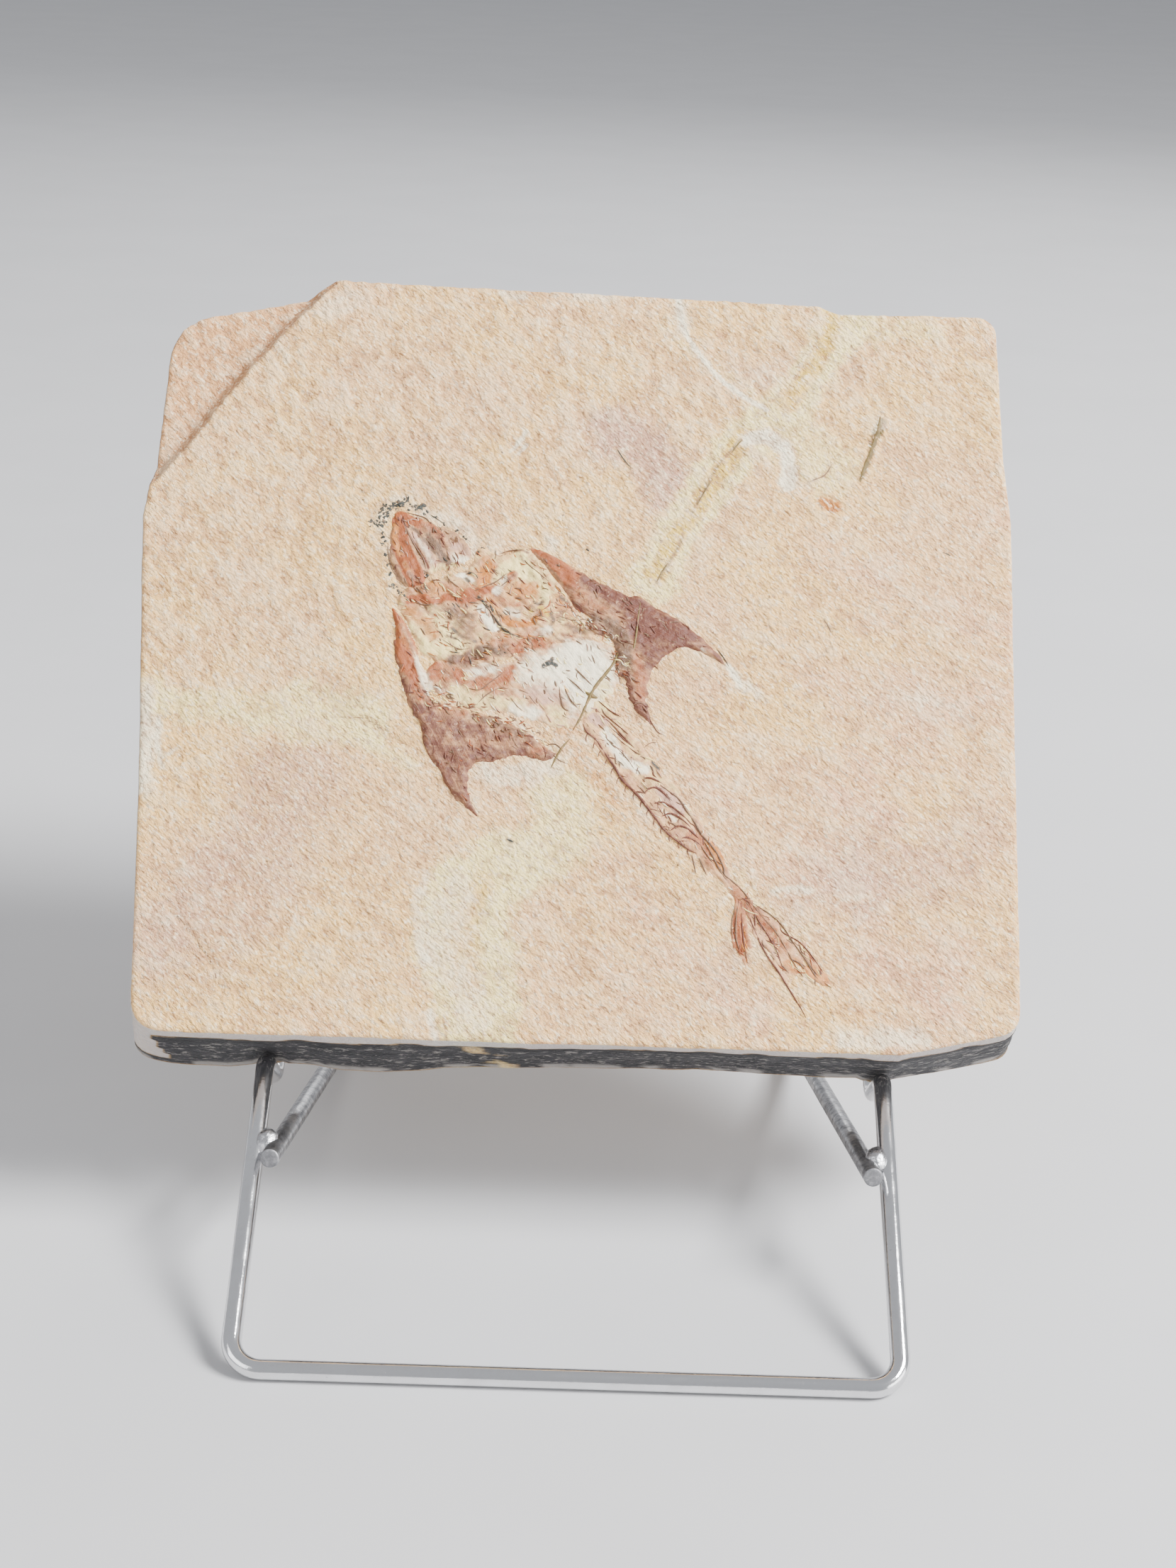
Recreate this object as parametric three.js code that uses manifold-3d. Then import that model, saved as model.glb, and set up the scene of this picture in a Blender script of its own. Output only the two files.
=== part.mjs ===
// Fossil fish in a limestone slab, leaning on its two-wire display stand.
// Millimetres, +Z up. The fossil face looks towards -Y and the stand stands on z = 0.
import * as THREE from 'three';
import { mergeVertices } from 'three/addons/utils/BufferGeometryUtils.js';
import Module from 'manifold-3d';

const wasm = await Module();
wasm.setup();

// ---- Driving dimensions (mm, degrees) ----

const WIRE_DIAMETER = 3.2;
const CLEARANCE = 0.3; // left between pieces that touch

const STAND_WIDTH = 105; // between the front legs' centre lines
const LEG_RISE = 30; // the front legs' slope above the floor
const LEG_LENGTH = 55.5; // from the front bar to the seat's front bend
const ARM_LENGTH = 68; // back rests, measured up from the seat
const FOOT_BEND = 5; // centre-line radius of the bends that lie on the floor
const SEAT_BEND = 3; // centre-line radius of the bends under the slab

const REAR_REACH = 116; // from the front bar to the rear bar
const REAR_WIDTH = 87; // length of the rear bar between its corners
const REAR_END_ALONG_LEG = 34.7; // where the rear wire starts, measured up a front leg
const REAR_END_INSET = 3.1; // inwards from that leg's centre line
const REAR_END_PROUD = 4; // in front of that leg's centre line
const WELD_ALONG_REAR = 5.4; // from the rear wire's cut end to its weld

const SLAB_LEAN = 40; // back from upright
const SLAB_THICKNESS = 24;
const SLAB_OVERHANG = 12.2; // how far the fossil face stands ahead of the seat's front bend
const SLAB_BASE = -0.9; // where the slab's base lies in its own frame
const FACE_BEVEL = 0.9; // worn arris round the fossil face
const BACK_BEVEL = 1.5; // worn arris round the back
const TOP_LAYER = 3; // thickness of the bed that has flaked off at one corner
const BREAK_SLOPE = 2.2; // how far that flake's broken edge runs out at its foot

const WIRE_RADIUS = WIRE_DIAMETER / 2;
const WIRE_SIDES = 12;
const BEND_STEPS = 6;

// ---- Materials ----

const limestone = new THREE.MeshStandardMaterial({
  name: 'limestone', color: 0xdfcbb4, roughness: 0.92, metalness: 0,
});
const chrome = new THREE.MeshStandardMaterial({
  name: 'chrome', color: 0xd2d2d4, roughness: 0.18, metalness: 1,
});
const weldMetal = new THREE.MeshStandardMaterial({
  name: 'weld_metal', color: 0xb4b4b6, roughness: 0.38, metalness: 1,
});

// ---- Helpers: solids ----

/** A closed three.js geometry as a manifold solid. */
function toSolid(geometry) {
  const bare = geometry.clone();
  bare.deleteAttribute('normal');
  bare.deleteAttribute('uv');
  const merged = mergeVertices(bare, 1e-5);
  return new wasm.Manifold(new wasm.Mesh({
    numProp: 3,
    vertProperties: new Float32Array(merged.attributes.position.array),
    triVerts: new Uint32Array(merged.index.array),
  }));
}

/** A manifold solid as a three.js geometry. */
function toGeometry(solid) {
  const { vertProperties, triVerts } = solid.getMesh();
  const geometry = new THREE.BufferGeometry();
  geometry.setAttribute('position', new THREE.BufferAttribute(vertProperties, 3));
  geometry.setIndex(new THREE.BufferAttribute(triVerts, 1));
  geometry.computeVertexNormals();
  return geometry;
}

/** A closed solid through rings of equal length, listed from its back (low z) to its front. */
function loft(rings) {
  const count = rings[0].length;
  const positions = rings.flat().flatMap((p) => [p.x, p.y, p.z]);
  const triangles = [];
  for (let r = 0; r + 1 < rings.length; r += 1) {
    for (let i = 0; i < count; i += 1) {
      const a = r * count + i;
      const b = r * count + ((i + 1) % count);
      triangles.push(a, b, b + count, a, b + count, a + count);
    }
  }
  const flat = (ring) => ring.map((p) => new THREE.Vector2(p.x, p.y));
  const last = (rings.length - 1) * count;
  for (const [a, b, c] of THREE.ShapeUtils.triangulateShape(flat(rings[0]), [])) {
    triangles.push(a, c, b);
  }
  for (const [a, b, c] of THREE.ShapeUtils.triangulateShape(flat(rings.at(-1)), [])) {
    triangles.push(last + a, last + b, last + c);
  }
  const geometry = new THREE.BufferGeometry();
  geometry.setAttribute('position', new THREE.Float32BufferAttribute(positions, 3));
  geometry.setIndex(triangles);
  geometry.setAttribute('normal', new THREE.Float32BufferAttribute(positions.length, 3));
  return geometry;
}

function named(name, geometry, material) {
  const mesh = new THREE.Mesh(geometry, material);
  mesh.name = name;
  return mesh;
}

// ---- Helpers: bent wire ----

/** A wire's centre line: straight runs joined by round bends, with a step only where it bends. */
class BentWire extends THREE.Curve {
  /** corners: [point, bend radius] in order; the first and last are the wire's cut ends. */
  constructor(corners) {
    super();
    this.stations = [];
    corners.forEach(([corner, radius], i) => {
      const before = corners[i - 1]?.[0];
      const after = corners[i + 1]?.[0];
      if (!before || !after) {
        const tangent = before ? corner.clone().sub(before) : after.clone().sub(corner);
        this.stations.push({ point: corner, tangent: tangent.normalize() });
        return;
      }
      this.addBend(corner, corner.clone().sub(before), after.clone().sub(corner), radius);
    });
  }

  /** A round bend that turns from direction `into` to direction `out` about the corner. */
  addBend(corner, into, out, radius) {
    into.normalize();
    out.normalize();
    const turn = into.angleTo(out);
    const reach = radius * Math.tan(turn / 2);
    const start = corner.clone().addScaledVector(into, -reach);
    const axis = into.clone().cross(out).normalize();
    const outward = into.clone().cross(axis);
    const centre = start.clone().addScaledVector(outward, -radius);
    for (let k = 0; k <= BEND_STEPS; k += 1) {
      const angle = (turn * k) / BEND_STEPS;
      const spoke = outward.clone().applyAxisAngle(axis, angle).multiplyScalar(radius);
      const tangent = into.clone().applyAxisAngle(axis, angle);
      this.stations.push({ point: centre.clone().add(spoke), tangent });
    }
  }

  get steps() {
    return this.stations.length - 1;
  }

  getPoint(t, target = new THREE.Vector3()) {
    return target.copy(this.stations[Math.round(t * this.steps)].point);
  }

  getPointAt(t, target) {
    return this.getPoint(t, target);
  }

  getTangentAt(t, target = new THREE.Vector3()) {
    return target.copy(this.stations[Math.round(t * this.steps)].tangent);
  }
}

/** A round wire of the given radius along a centre line, with a flat of its section turned down. */
function wireGeometry(path, radius) {
  const half = Math.PI / WIRE_SIDES;
  const section = new THREE.Shape();
  section.absarc(0, 0, radius, half, half + 2 * Math.PI, false);
  return new THREE.ExtrudeGeometry(section, {
    steps: path.steps,
    curveSegments: WIRE_SIDES / 2,
    extrudePath: path,
  });
}

// ---- Directions shared by the stand and the slab ----

const rad = THREE.MathUtils.degToRad;
const legDirection = new THREE.Vector3(0, Math.cos(rad(LEG_RISE)), Math.sin(rad(LEG_RISE)));
const legNormal = new THREE.Vector3(0, -Math.sin(rad(LEG_RISE)), Math.cos(rad(LEG_RISE)));
const slabUp = new THREE.Vector3(0, Math.sin(rad(SLAB_LEAN)), Math.cos(rad(SLAB_LEAN)));
const slabBack = new THREE.Vector3(0, Math.cos(rad(SLAB_LEAN)), -Math.sin(rad(SLAB_LEAN)));
const seatFront = new THREE.Vector3(0, 0, WIRE_RADIUS).addScaledVector(legDirection, LEG_LENGTH);
const seatDepth = SLAB_THICKNESS - SLAB_OVERHANG + CLEARANCE + WIRE_RADIUS;

/** A copy of a point moved across to x. */
function atX(point, x) {
  return new THREE.Vector3(x, point.y, point.z);
}

// ---- Front wire: front bar, legs, seats and back rests in one length ----

function frontWirePath() {
  const foot = new THREE.Vector3(0, 0, WIRE_RADIUS);
  const seatBack = seatFront.clone().addScaledVector(slabBack, seatDepth);
  const armTop = seatBack.clone().addScaledVector(slabUp, ARM_LENGTH);
  const half = STAND_WIDTH / 2;
  const left = [
    [atX(armTop, -half), 0],
    [atX(seatBack, -half), SEAT_BEND],
    [atX(seatFront, -half), SEAT_BEND],
    [atX(foot, -half), FOOT_BEND],
  ];
  const right = left.map(([point, radius]) => [atX(point, half), radius]).reverse();
  return new BentWire([...left, ...right]);
}

// ---- Rear wire: two converging legs and the rear bar in one length ----

function rearWireEnd(side) {
  const end = new THREE.Vector3(side * (STAND_WIDTH / 2 - REAR_END_INSET), 0, WIRE_RADIUS);
  end.addScaledVector(legDirection, REAR_END_ALONG_LEG);
  return end.addScaledVector(legNormal, REAR_END_PROUD);
}

function rearWireCorner(side) {
  return new THREE.Vector3((side * REAR_WIDTH) / 2, REAR_REACH, WIRE_RADIUS);
}

function rearWirePath() {
  return new BentWire([
    [rearWireEnd(-1), 0],
    [rearWireCorner(-1), FOOT_BEND],
    [rearWireCorner(1), FOOT_BEND],
    [rearWireEnd(1), 0],
  ]);
}

// ---- Weld beads: a lump of metal in the crook above each crossing of the wires ----

function weldBead(side) {
  const end = rearWireEnd(side);
  const along = rearWireCorner(side).sub(end).normalize();
  const centre = end.clone().addScaledVector(along, WELD_ALONG_REAR + 1.4);
  centre.x += (side * WIRE_DIAMETER) / 2;
  centre.addScaledVector(legNormal, 1.7);
  const lump = new THREE.SphereGeometry(1, 16, 10);
  lump.scale(1.9, 2.4, 1.6);
  lump.rotateX(rad(LEG_RISE));
  lump.translate(centre.x, centre.y, centre.z);
  const wires = [frontWirePath(), rearWirePath()];
  return wires.reduce(
    (bead, path) => bead.subtract(toSolid(wireGeometry(path, WIRE_RADIUS + CLEARANCE))),
    toSolid(lump),
  );
}

// ---- Slab: its own frame is x across, y up the face, z out of the face, face at z = 0 ----

// Corners anticlockwise from the lower left: [across, up, rounding, flare of the back edge].
// The bottom between the seats is straight; the lower left side flares out towards the back.
const SLAB_CORNERS = [
  [-74.2, SLAB_BASE, 6, -3.6],
  [54, SLAB_BASE, 0, 1],
  [74.3, 3.6, 4, 3],
  [74.6, 50, 0, 1.5],
  [75.1, 96, 0, 0.8],
  [74.1, 108, 0, 0.8],
  [73.2, 137.7, 4, 0.8],
  [44, 137.5, 0, 0],
  [40.5, 138.9, 0, 0],
  [0, 139.8, 0, 0],
  [-48.5, 141, 0, 0],
  [-54, 138, 0, 0],
  [-78.2, 132.6, 8, 0],
  [-78.9, 103, 0, 0],
  [-80, 92, 0, 0],
  [-76.2, 40, 0, -1],
];
const SIDE_STEP = 9; // longest straight run in the outline
const SIDE_WAVE = 0.2; // unevenness of the hand-trimmed sides

/** The slab's outline with rounded corners at a share of its thickness (0 face, 1 back). */
function roundedOutline(share) {
  const corners = SLAB_CORNERS.map(
    ([across, up, , flare]) => new THREE.Vector2(across + flare * share, up),
  );
  const path = new THREE.Path();
  corners.forEach((corner, i) => {
    const rounding = SLAB_CORNERS[i][2];
    const before = corners.at(i - 1);
    const after = corners[(i + 1) % corners.length];
    const start = corner.clone().add(before.clone().sub(corner).setLength(rounding));
    const end = corner.clone().add(after.clone().sub(corner).setLength(rounding));
    if (i === 0) {
      path.moveTo(start.x, start.y);
    } else {
      path.lineTo(start.x, start.y);
    }
    if (rounding > 0) {
      path.quadraticCurveTo(corner.x, corner.y, end.x, end.y);
    }
  });
  path.closePath();
  return path.getPoints(4).slice(0, -1);
}

/** How many parts each run of the outline is split into, the same at every depth. */
const SIDE_PARTS = roundedOutline(0).map(
  (point, i, all) => Math.ceil(point.distanceTo(all[(i + 1) % all.length]) / SIDE_STEP),
);

function slabOutline(share) {
  return roundedOutline(share).flatMap((point, i, all) => {
    const next = all[(i + 1) % all.length];
    const parts = SIDE_PARTS[i];
    return Array.from({ length: parts }, (_, k) => point.clone().lerp(next, k / parts));
  });
}

/** One ring of the slab's surface, moved in by `inset` and made uneven away from its base. */
function slabRing(depth, inset) {
  const outline = slabOutline(depth / SLAB_THICKNESS);
  const count = outline.length;
  return outline.map((point, i) => {
    const along = outline[(i + 1) % count].clone().sub(outline.at(i - 1)).normalize();
    const outward = new THREE.Vector2(along.y, -along.x);
    const unevenness = Math.sin(point.x * 0.21 + depth * 0.5)
      + Math.sin(point.y * 0.27 - depth * 0.4);
    const wave = SIDE_WAVE * unevenness * THREE.MathUtils.smoothstep(point.y, 2, 12);
    const moved = point.clone().addScaledVector(outward, wave - inset);
    return new THREE.Vector3(moved.x, moved.y, -depth);
  });
}

function slabBlock() {
  const depths = [SLAB_THICKNESS, SLAB_THICKNESS - BACK_BEVEL, 16, 8, FACE_BEVEL, 0];
  return toSolid(loft(depths.map((depth) => {
    const atBack = depth === SLAB_THICKNESS ? BACK_BEVEL : 0;
    const atFace = depth === 0 ? FACE_BEVEL : 0;
    return slabRing(depth, atBack + atFace);
  })));
}

/** The flake missing from the top left corner, down to the next bedding plane. */
function missingFlake() {
  const brokenEdge = [[-46.5, 141.5], [-55, 132], [-64.5, 119.3], [-73.5, 105], [-81, 95.2]];
  const outside = [[-100, 95.2], [-100, 160], [-46.5, 160]];
  const ring = (z, runOut) => [
    ...brokenEdge.map(([x, y]) => new THREE.Vector3(x - 0.8 * runOut, y + 0.6 * runOut, z)),
    ...outside.map(([x, y]) => new THREE.Vector3(x, y, z)),
  ].reverse();
  return toSolid(loft([ring(-TOP_LAYER, BREAK_SLOPE), ring(0, 0), ring(2, -BREAK_SLOPE)]));
}

// ---- Fossil: the bones stand a little proud of the face, in one piece with it ----

const SNOUT = [
  [-33.9, 93.8], [-35.6, 91], [-35.6, 87], [-34, 82.8], [-31.5, 81], [-28, 82],
  [-23.5, 85], [-20.5, 88.5], [-25, 90], [-29, 92.4], [-31.5, 93.5],
];
const SKULL = [
  [-31.5, 81.5], [-34.3, 76], [-31.5, 71], [-28.5, 67.5], [-22.5, 66], [-15, 66.5],
  [-7, 70.5], [1, 73], [-2.5, 78], [-6, 82.5], [-11, 88], [-15.5, 87], [-21, 86.5], [-26, 83],
];
const LEFT_CHEEK = [
  [-34.5, 75.8], [-33.9, 69], [-32.8, 63.8], [-31, 58.5], [-28.4, 53.8], [-27.4, 50.2],
  [-24.9, 46.3], [-21.8, 41.4], [-17.8, 38.3], [-19.8, 42.5], [-19.8, 46.5], [-16, 48.2],
  [-11.5, 49.4], [-5, 50], [-8.8, 53.2], [-15, 55.8], [-21.4, 57.8], [-21, 64.8],
  [-28.5, 66.2], [-31, 71.5],
];
const RIGHT_CHEEK = [
  [-11, 88.3], [-7.9, 84.5], [-5, 80.3], [-3.6, 77], [1, 75.3], [0.6, 72.8], [4.7, 71],
  [5.6, 65], [8.2, 61.5], [10.5, 56.8], [10.4, 61], [12, 66.8], [14.8, 69.2], [18.6, 69.8],
  [24.2, 67], [20.4, 71.9], [15.5, 75.6], [8.7, 79.6], [1.1, 82.5], [-6.5, 87.2],
];
const TRUNK = [
  [-12, 65.5], [-10, 59], [-4.4, 51], [0.2, 54], [8.5, 43.7], [18.5, 33.3], [24, 29.5],
  [28.2, 25.6], [24.6, 31.5], [21.9, 35.2], [17.7, 40.8], [13.3, 46.3], [5.8, 56.3],
  [4.9, 66.5], [1, 70], [-6, 70],
];
const TAIL = [
  [27.6, 26.4], [25.4, 20.5], [26.3, 16.4], [28.5, 13.8], [29, 18], [31.5, 15.6],
  [38, 5.2], [35.6, 11.6], [41.5, 10.8], [38.2, 16.8], [33.6, 21.4], [29.6, 24.4],
];

/** A low raised patch of bone with a bevelled rim. */
function bone(outline, height) {
  const rim = height / 2;
  const root = 1; // how deep the patch is set into the stone
  const geometry = new THREE.ExtrudeGeometry(
    new THREE.Shape(outline.map(([x, y]) => new THREE.Vector2(x, y))),
    { depth: root + height - rim, bevelThickness: rim, bevelSize: rim, bevelOffset: -rim, bevelSegments: 1 },
  );
  geometry.translate(0, 0, -root);
  return toSolid(geometry);
}

function fossilSlab() {
  const bones = [
    [SNOUT, 0.8], [SKULL, 0.6], [LEFT_CHEEK, 1], [RIGHT_CHEEK, 1], [TRUNK, 0.4], [TAIL, 0.5],
  ];
  return bones.reduce(
    (slab, [outline, height]) => slab.add(bone(outline, height)),
    slabBlock().subtract(missingFlake()),
  );
}

/** The frame that the slab is drawn in, set down on the seats and against the back rests. */
function slabPlace() {
  const place = new THREE.Group();
  place.rotation.x = rad(90 - SLAB_LEAN);
  place.position.copy(seatFront);
  place.position.addScaledVector(slabUp, WIRE_RADIUS + CLEARANCE - SLAB_BASE);
  place.position.addScaledVector(slabBack, -SLAB_OVERHANG);
  return place;
}

// ---- Assembly: origin under the middle of the whole, on the floor ----

const model = new THREE.Group();
const leaning = slabPlace();
leaning.add(named('fossil_slab', toGeometry(fossilSlab()), limestone));
model.add(leaning);
model.add(named('front_wire', wireGeometry(frontWirePath(), WIRE_RADIUS), chrome));
model.add(named('rear_wire', wireGeometry(rearWirePath(), WIRE_RADIUS), chrome));
model.add(named('weld_left', toGeometry(weldBead(-1)), weldMetal));
model.add(named('weld_right', toGeometry(weldBead(1)), weldMetal));

model.updateMatrixWorld(true);
const box = new THREE.Box3().setFromObject(model, true);
const middle = box.getCenter(new THREE.Vector3());
model.position.set(-middle.x, -middle.y, -box.min.z);

export default model;
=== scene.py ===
"""Fossil fish in a limestone slab on its two-wire display stand.

Laid out as an add-on and run as a script. Shapes are worked out in millimetres and put into the
meshes in metres. The slab is drawn in a frame of its own, the bed frame: u across the face, v up
the face and w out of it, with w = 0 at the fossil face and w = -24 at the back.
"""

import math

import bpy
import numpy as np
from mathutils import Matrix, Vector


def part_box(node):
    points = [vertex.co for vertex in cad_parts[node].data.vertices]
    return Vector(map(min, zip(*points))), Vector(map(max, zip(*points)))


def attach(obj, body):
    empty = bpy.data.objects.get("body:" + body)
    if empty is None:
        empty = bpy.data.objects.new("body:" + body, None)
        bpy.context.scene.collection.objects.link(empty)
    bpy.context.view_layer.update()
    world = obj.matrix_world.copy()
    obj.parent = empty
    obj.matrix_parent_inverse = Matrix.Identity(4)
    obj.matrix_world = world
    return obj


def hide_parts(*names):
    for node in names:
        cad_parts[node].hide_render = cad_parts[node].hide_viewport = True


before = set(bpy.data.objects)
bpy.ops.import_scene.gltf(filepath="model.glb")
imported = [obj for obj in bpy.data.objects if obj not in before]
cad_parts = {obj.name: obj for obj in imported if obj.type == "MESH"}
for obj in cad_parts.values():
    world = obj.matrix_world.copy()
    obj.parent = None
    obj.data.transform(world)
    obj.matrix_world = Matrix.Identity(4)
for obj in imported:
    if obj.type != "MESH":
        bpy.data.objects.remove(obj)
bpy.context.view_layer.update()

bl_info = {
    "name": "Fossil Fish Slab",
    "version": (1, 0, 0),
    "blender": (4, 5, 0),
    "location": "View3D > Sidebar > Fossil",
    "description": "A limestone slab with a fossil fish, leaning on a bent wire display stand",
    "category": "Add Mesh",
}

MM = 0.001

# ---- Driving dimensions of the stand and slab (mm, degrees) ----

WIRE_RADIUS = 1.6
STAND_WIDTH = 105  # between the front legs' centre lines
LEG_RISE = 30  # the front legs' slope above the floor
LEG_LENGTH = 55.5  # from the front bar to the seat's front bend
ARM_LENGTH = 68  # back rests, measured up from the seat
FOOT_BEND = 5  # centre-line radius of the bends on the floor
SEAT_BEND = 3  # centre-line radius of the bends under the slab
REAR_REACH = 116  # from the front bar to the rear bar
REAR_WIDTH = 87  # length of the rear bar between its corners
REAR_END_ALONG_LEG = 34.7  # where the rear wire starts, measured up a front leg
REAR_END_INSET = 3.1  # inwards from that leg's centre line
REAR_END_PROUD = 4  # in front of that leg's centre line
WELD_ALONG_REAR = 6.8  # from the rear wire's cut end to the middle of its weld
SLAB_LEAN = 40  # back from upright
SLAB_THICKNESS = 24
SLAB_OVERHANG = 12.2  # how far the fossil face stands ahead of the seat's front bend
SLAB_BASE = -0.9  # where the slab's base lies in the bed frame
CLEARANCE = 0.3  # between the slab and the wire it rests on
TOP_BED = 3  # thickness of the bed that has flaked off at one corner
BREAK_RUN = 2.4  # how far that flake's broken edge runs out at its foot
ARRIS = 0.9  # worn edge round the fossil face

CAD_WIRE_FLAT = WIRE_RADIUS * math.cos(math.radians(15))  # the frame's wire has 12 sides
SLAB_NODE, FRONT_NODE, REAR_NODE = "fossil_slab", "front_wire", "rear_wire"
WELD_NODES = {-1: "weld_left", 1: "weld_right"}

# ---- Directions and places, worked out from the frame ----


def direction(degrees_up):
    """A unit vector that looks along +Y, raised by an angle."""
    angle = math.radians(degrees_up)
    return np.array([0, math.cos(angle), math.sin(angle)])


WIRE_LOW, WIRE_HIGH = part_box(FRONT_NODE)
FOOT = np.array([
    (WIRE_LOW.x + WIRE_HIGH.x) / 2 / MM,
    WIRE_LOW.y / MM + CAD_WIRE_FLAT,
    WIRE_LOW.z / MM + CAD_WIRE_FLAT,
])  # the middle of the front bar
LEG_UP = direction(LEG_RISE)
LEG_OUT = direction(LEG_RISE + 90)
ACROSS = np.array([1.0, 0, 0])
BED_UP = direction(90 - SLAB_LEAN)
BED_OUT = direction(180 - SLAB_LEAN)
SEAT_FRONT = FOOT + LEG_UP * LEG_LENGTH
BED_ORIGIN = SEAT_FRONT + BED_UP * (WIRE_RADIUS + CLEARANCE - SLAB_BASE) + BED_OUT * SLAB_OVERHANG


def placed(bed):
    """Points of the bed frame, in mm, as points of the stand's own frame, in metres."""
    axes = np.stack((ACROSS, BED_UP, BED_OUT))
    return (BED_ORIGIN + bed @ axes) * MM


# ---- Noise, curves and distances ----


def cell_value(cell, seed):
    """A repeatable number from 0 to 1 for each whole-number cell, by mixing its coordinates' bits."""
    mixed = cell @ np.array([374761393, 668265263, 1442695041]) + seed * 974711
    mixed = (mixed ^ (mixed >> 13)) * 1274126177 & 0xFFFFFFFF
    mixed = (mixed ^ (mixed >> 16)) * 2246822519 & 0xFFFFFFFF
    return (mixed ^ (mixed >> 15)) / 0xFFFFFFFF


def noise(points, size, octaves=1, seed=0):
    """Smooth lumps from -1 to 1, about `size` mm across.

    Values at whole-number lattice corners are blended by the quintic fade 6t^5 - 15t^4 + 10t^3,
    and each further octave has half the size and half the height.
    """
    total, height, heights = np.zeros(len(points)), 1.0, 0.0
    for octave in range(octaves):
        at = points * (2**octave / size) + 17.3 * octave
        cell = np.floor(at).astype(np.int64)
        t = at - cell
        t = t**3 * (t * (t * 6 - 15) + 10)
        for corner in np.ndindex(2, 2, 2):
            share = np.where(np.array(corner) == 1, t, 1 - t).prod(axis=1)
            total += height * share * (2 * cell_value(cell + np.array(corner), seed + octave) - 1)
        heights += height
        height /= 2
    return total / heights


def ramp(value, low, high):
    """0 below low and 1 above high, with the smooth step 3t^2 - 2t^3 between."""
    t = np.clip((value - low) / (high - low), 0, 1)
    return t * t * (3 - 2 * t)


def spline(points, steps=6, closed=False):
    """A Catmull-Rom curve through the points, with `steps` parts between each two."""
    p = np.array(points, float)
    if len(p) < 3:
        return p
    ahead = np.roll(p, -1, 0) if closed else np.vstack((p[1:], 2 * p[-1] - p[-2]))
    before = np.roll(p, 1, 0) if closed else np.vstack((2 * p[0] - p[1], p[:-1]))
    after = np.roll(p, -2, 0) if closed else np.vstack((ahead[1:], ahead[-1]))
    t = (np.arange(steps) / steps)[None, :, None]
    a, b, c, d = (q[:, None, :] for q in (before, p, ahead, after))
    curve = 0.5 * (2 * b + (c - a) * t + (2 * a - 5 * b + 4 * c - d) * t**2
                   + (3 * b - a - 3 * c + d) * t**3)
    if closed:
        return curve.reshape(-1, p.shape[1])
    return np.vstack((curve[:-1].reshape(-1, p.shape[1]), p[-1:]))


def line_distance(points, line):
    """Each point's distance from a line of straight runs, or from a single dot."""
    line = np.array(line, float)
    if len(line) == 1:
        return np.linalg.norm(points - line[0], axis=1)
    nearest = np.full(len(points), np.inf)
    for start, step in zip(line[:-1], np.diff(line, axis=0)):
        offset = points - start
        share = np.clip(offset @ step / (step @ step), 0, 1)
        nearest = np.minimum(nearest, np.linalg.norm(offset - share[:, None] * step, axis=1))
    return nearest


def depth_inside(points, outline):
    """Each point's distance from a closed outline, positive inside: even-odd crossings set the sign."""
    inside = np.zeros(len(points), bool)
    for (x0, y0), (x1, y1) in zip(outline, np.roll(outline, -1, 0)):
        crosses = (y0 > points[:, 1]) != (y1 > points[:, 1])
        at = x0 + (points[:, 1] - y0) * (x1 - x0) / (y1 - y0 if y1 != y0 else 1)
        inside ^= crosses & (points[:, 0] < at)
    away = line_distance(points, np.vstack((outline, outline[:1])))
    return np.where(inside, away, -away)


def heading(angle):
    """A unit vector on the face at an angle in radians."""
    return np.array([math.cos(angle), math.sin(angle)])


def ahead_and_aside(line):
    """Unit vectors along a line on the face, and square to it on its right."""
    ahead = np.gradient(line, axis=0)
    ahead /= np.linalg.norm(ahead, axis=1)[:, None]
    return ahead, np.column_stack((ahead[:, 1], -ahead[:, 0]))


def resampled(line, parts):
    """parts + 1 points at equal distances along a line."""
    reach = np.concatenate(([0], np.cumsum(np.linalg.norm(np.diff(line, axis=0), axis=1))))
    at = np.linspace(0, reach[-1], parts + 1)
    return np.stack([np.interp(at, reach, line[:, k]) for k in range(line.shape[1])], 1)


# ---- Meshes ----


def grid_faces(columns, rows):
    """Quads of a grid whose points are listed row by row, facing out of a right-handed u, v."""
    at = np.arange(columns * rows).reshape(rows, columns)
    return np.stack((at[:-1, :-1], at[:-1, 1:], at[1:, 1:], at[1:, :-1]), -1).reshape(-1, 4)


def grid_border(columns, rows):
    """The border of that grid as point numbers, anticlockwise from its first corner."""
    at = np.arange(columns * rows).reshape(rows, columns)
    return np.concatenate((at[0, :-1], at[:-1, -1], at[-1, :0:-1], at[:0:-1, 0]))


def ring_faces(front, back):
    """Quads from one ring of point numbers to the next, facing away from what they go round."""
    return np.stack((front, back, np.roll(back, -1), np.roll(front, -1)), 1)


def tube_faces(rings, mirrored=False):
    """Quads between a tube's rings, then a fan of triangles from each end ring to a tip.

    The two tips are the points after the last ring. A ring's points go round against the
    right-hand turn about the way the tube runs, or with it if the tube is mirrored.
    """
    pairs = zip(rings[1:], rings[:-1]) if mirrored else zip(rings[:-1], rings[1:])
    quads = np.concatenate([ring_faces(front, back) for front, back in pairs])
    first, last = rings[0], rings[-1]
    fans = np.concatenate((
        np.stack((np.full(len(first), rings.size), first, np.roll(first, -1)), 1),
        np.stack((np.full(len(last), rings.size + 1), np.roll(last, -1), last), 1),
    ))
    return [quads, fans[:, [0, 2, 1]] if mirrored else fans]


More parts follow.
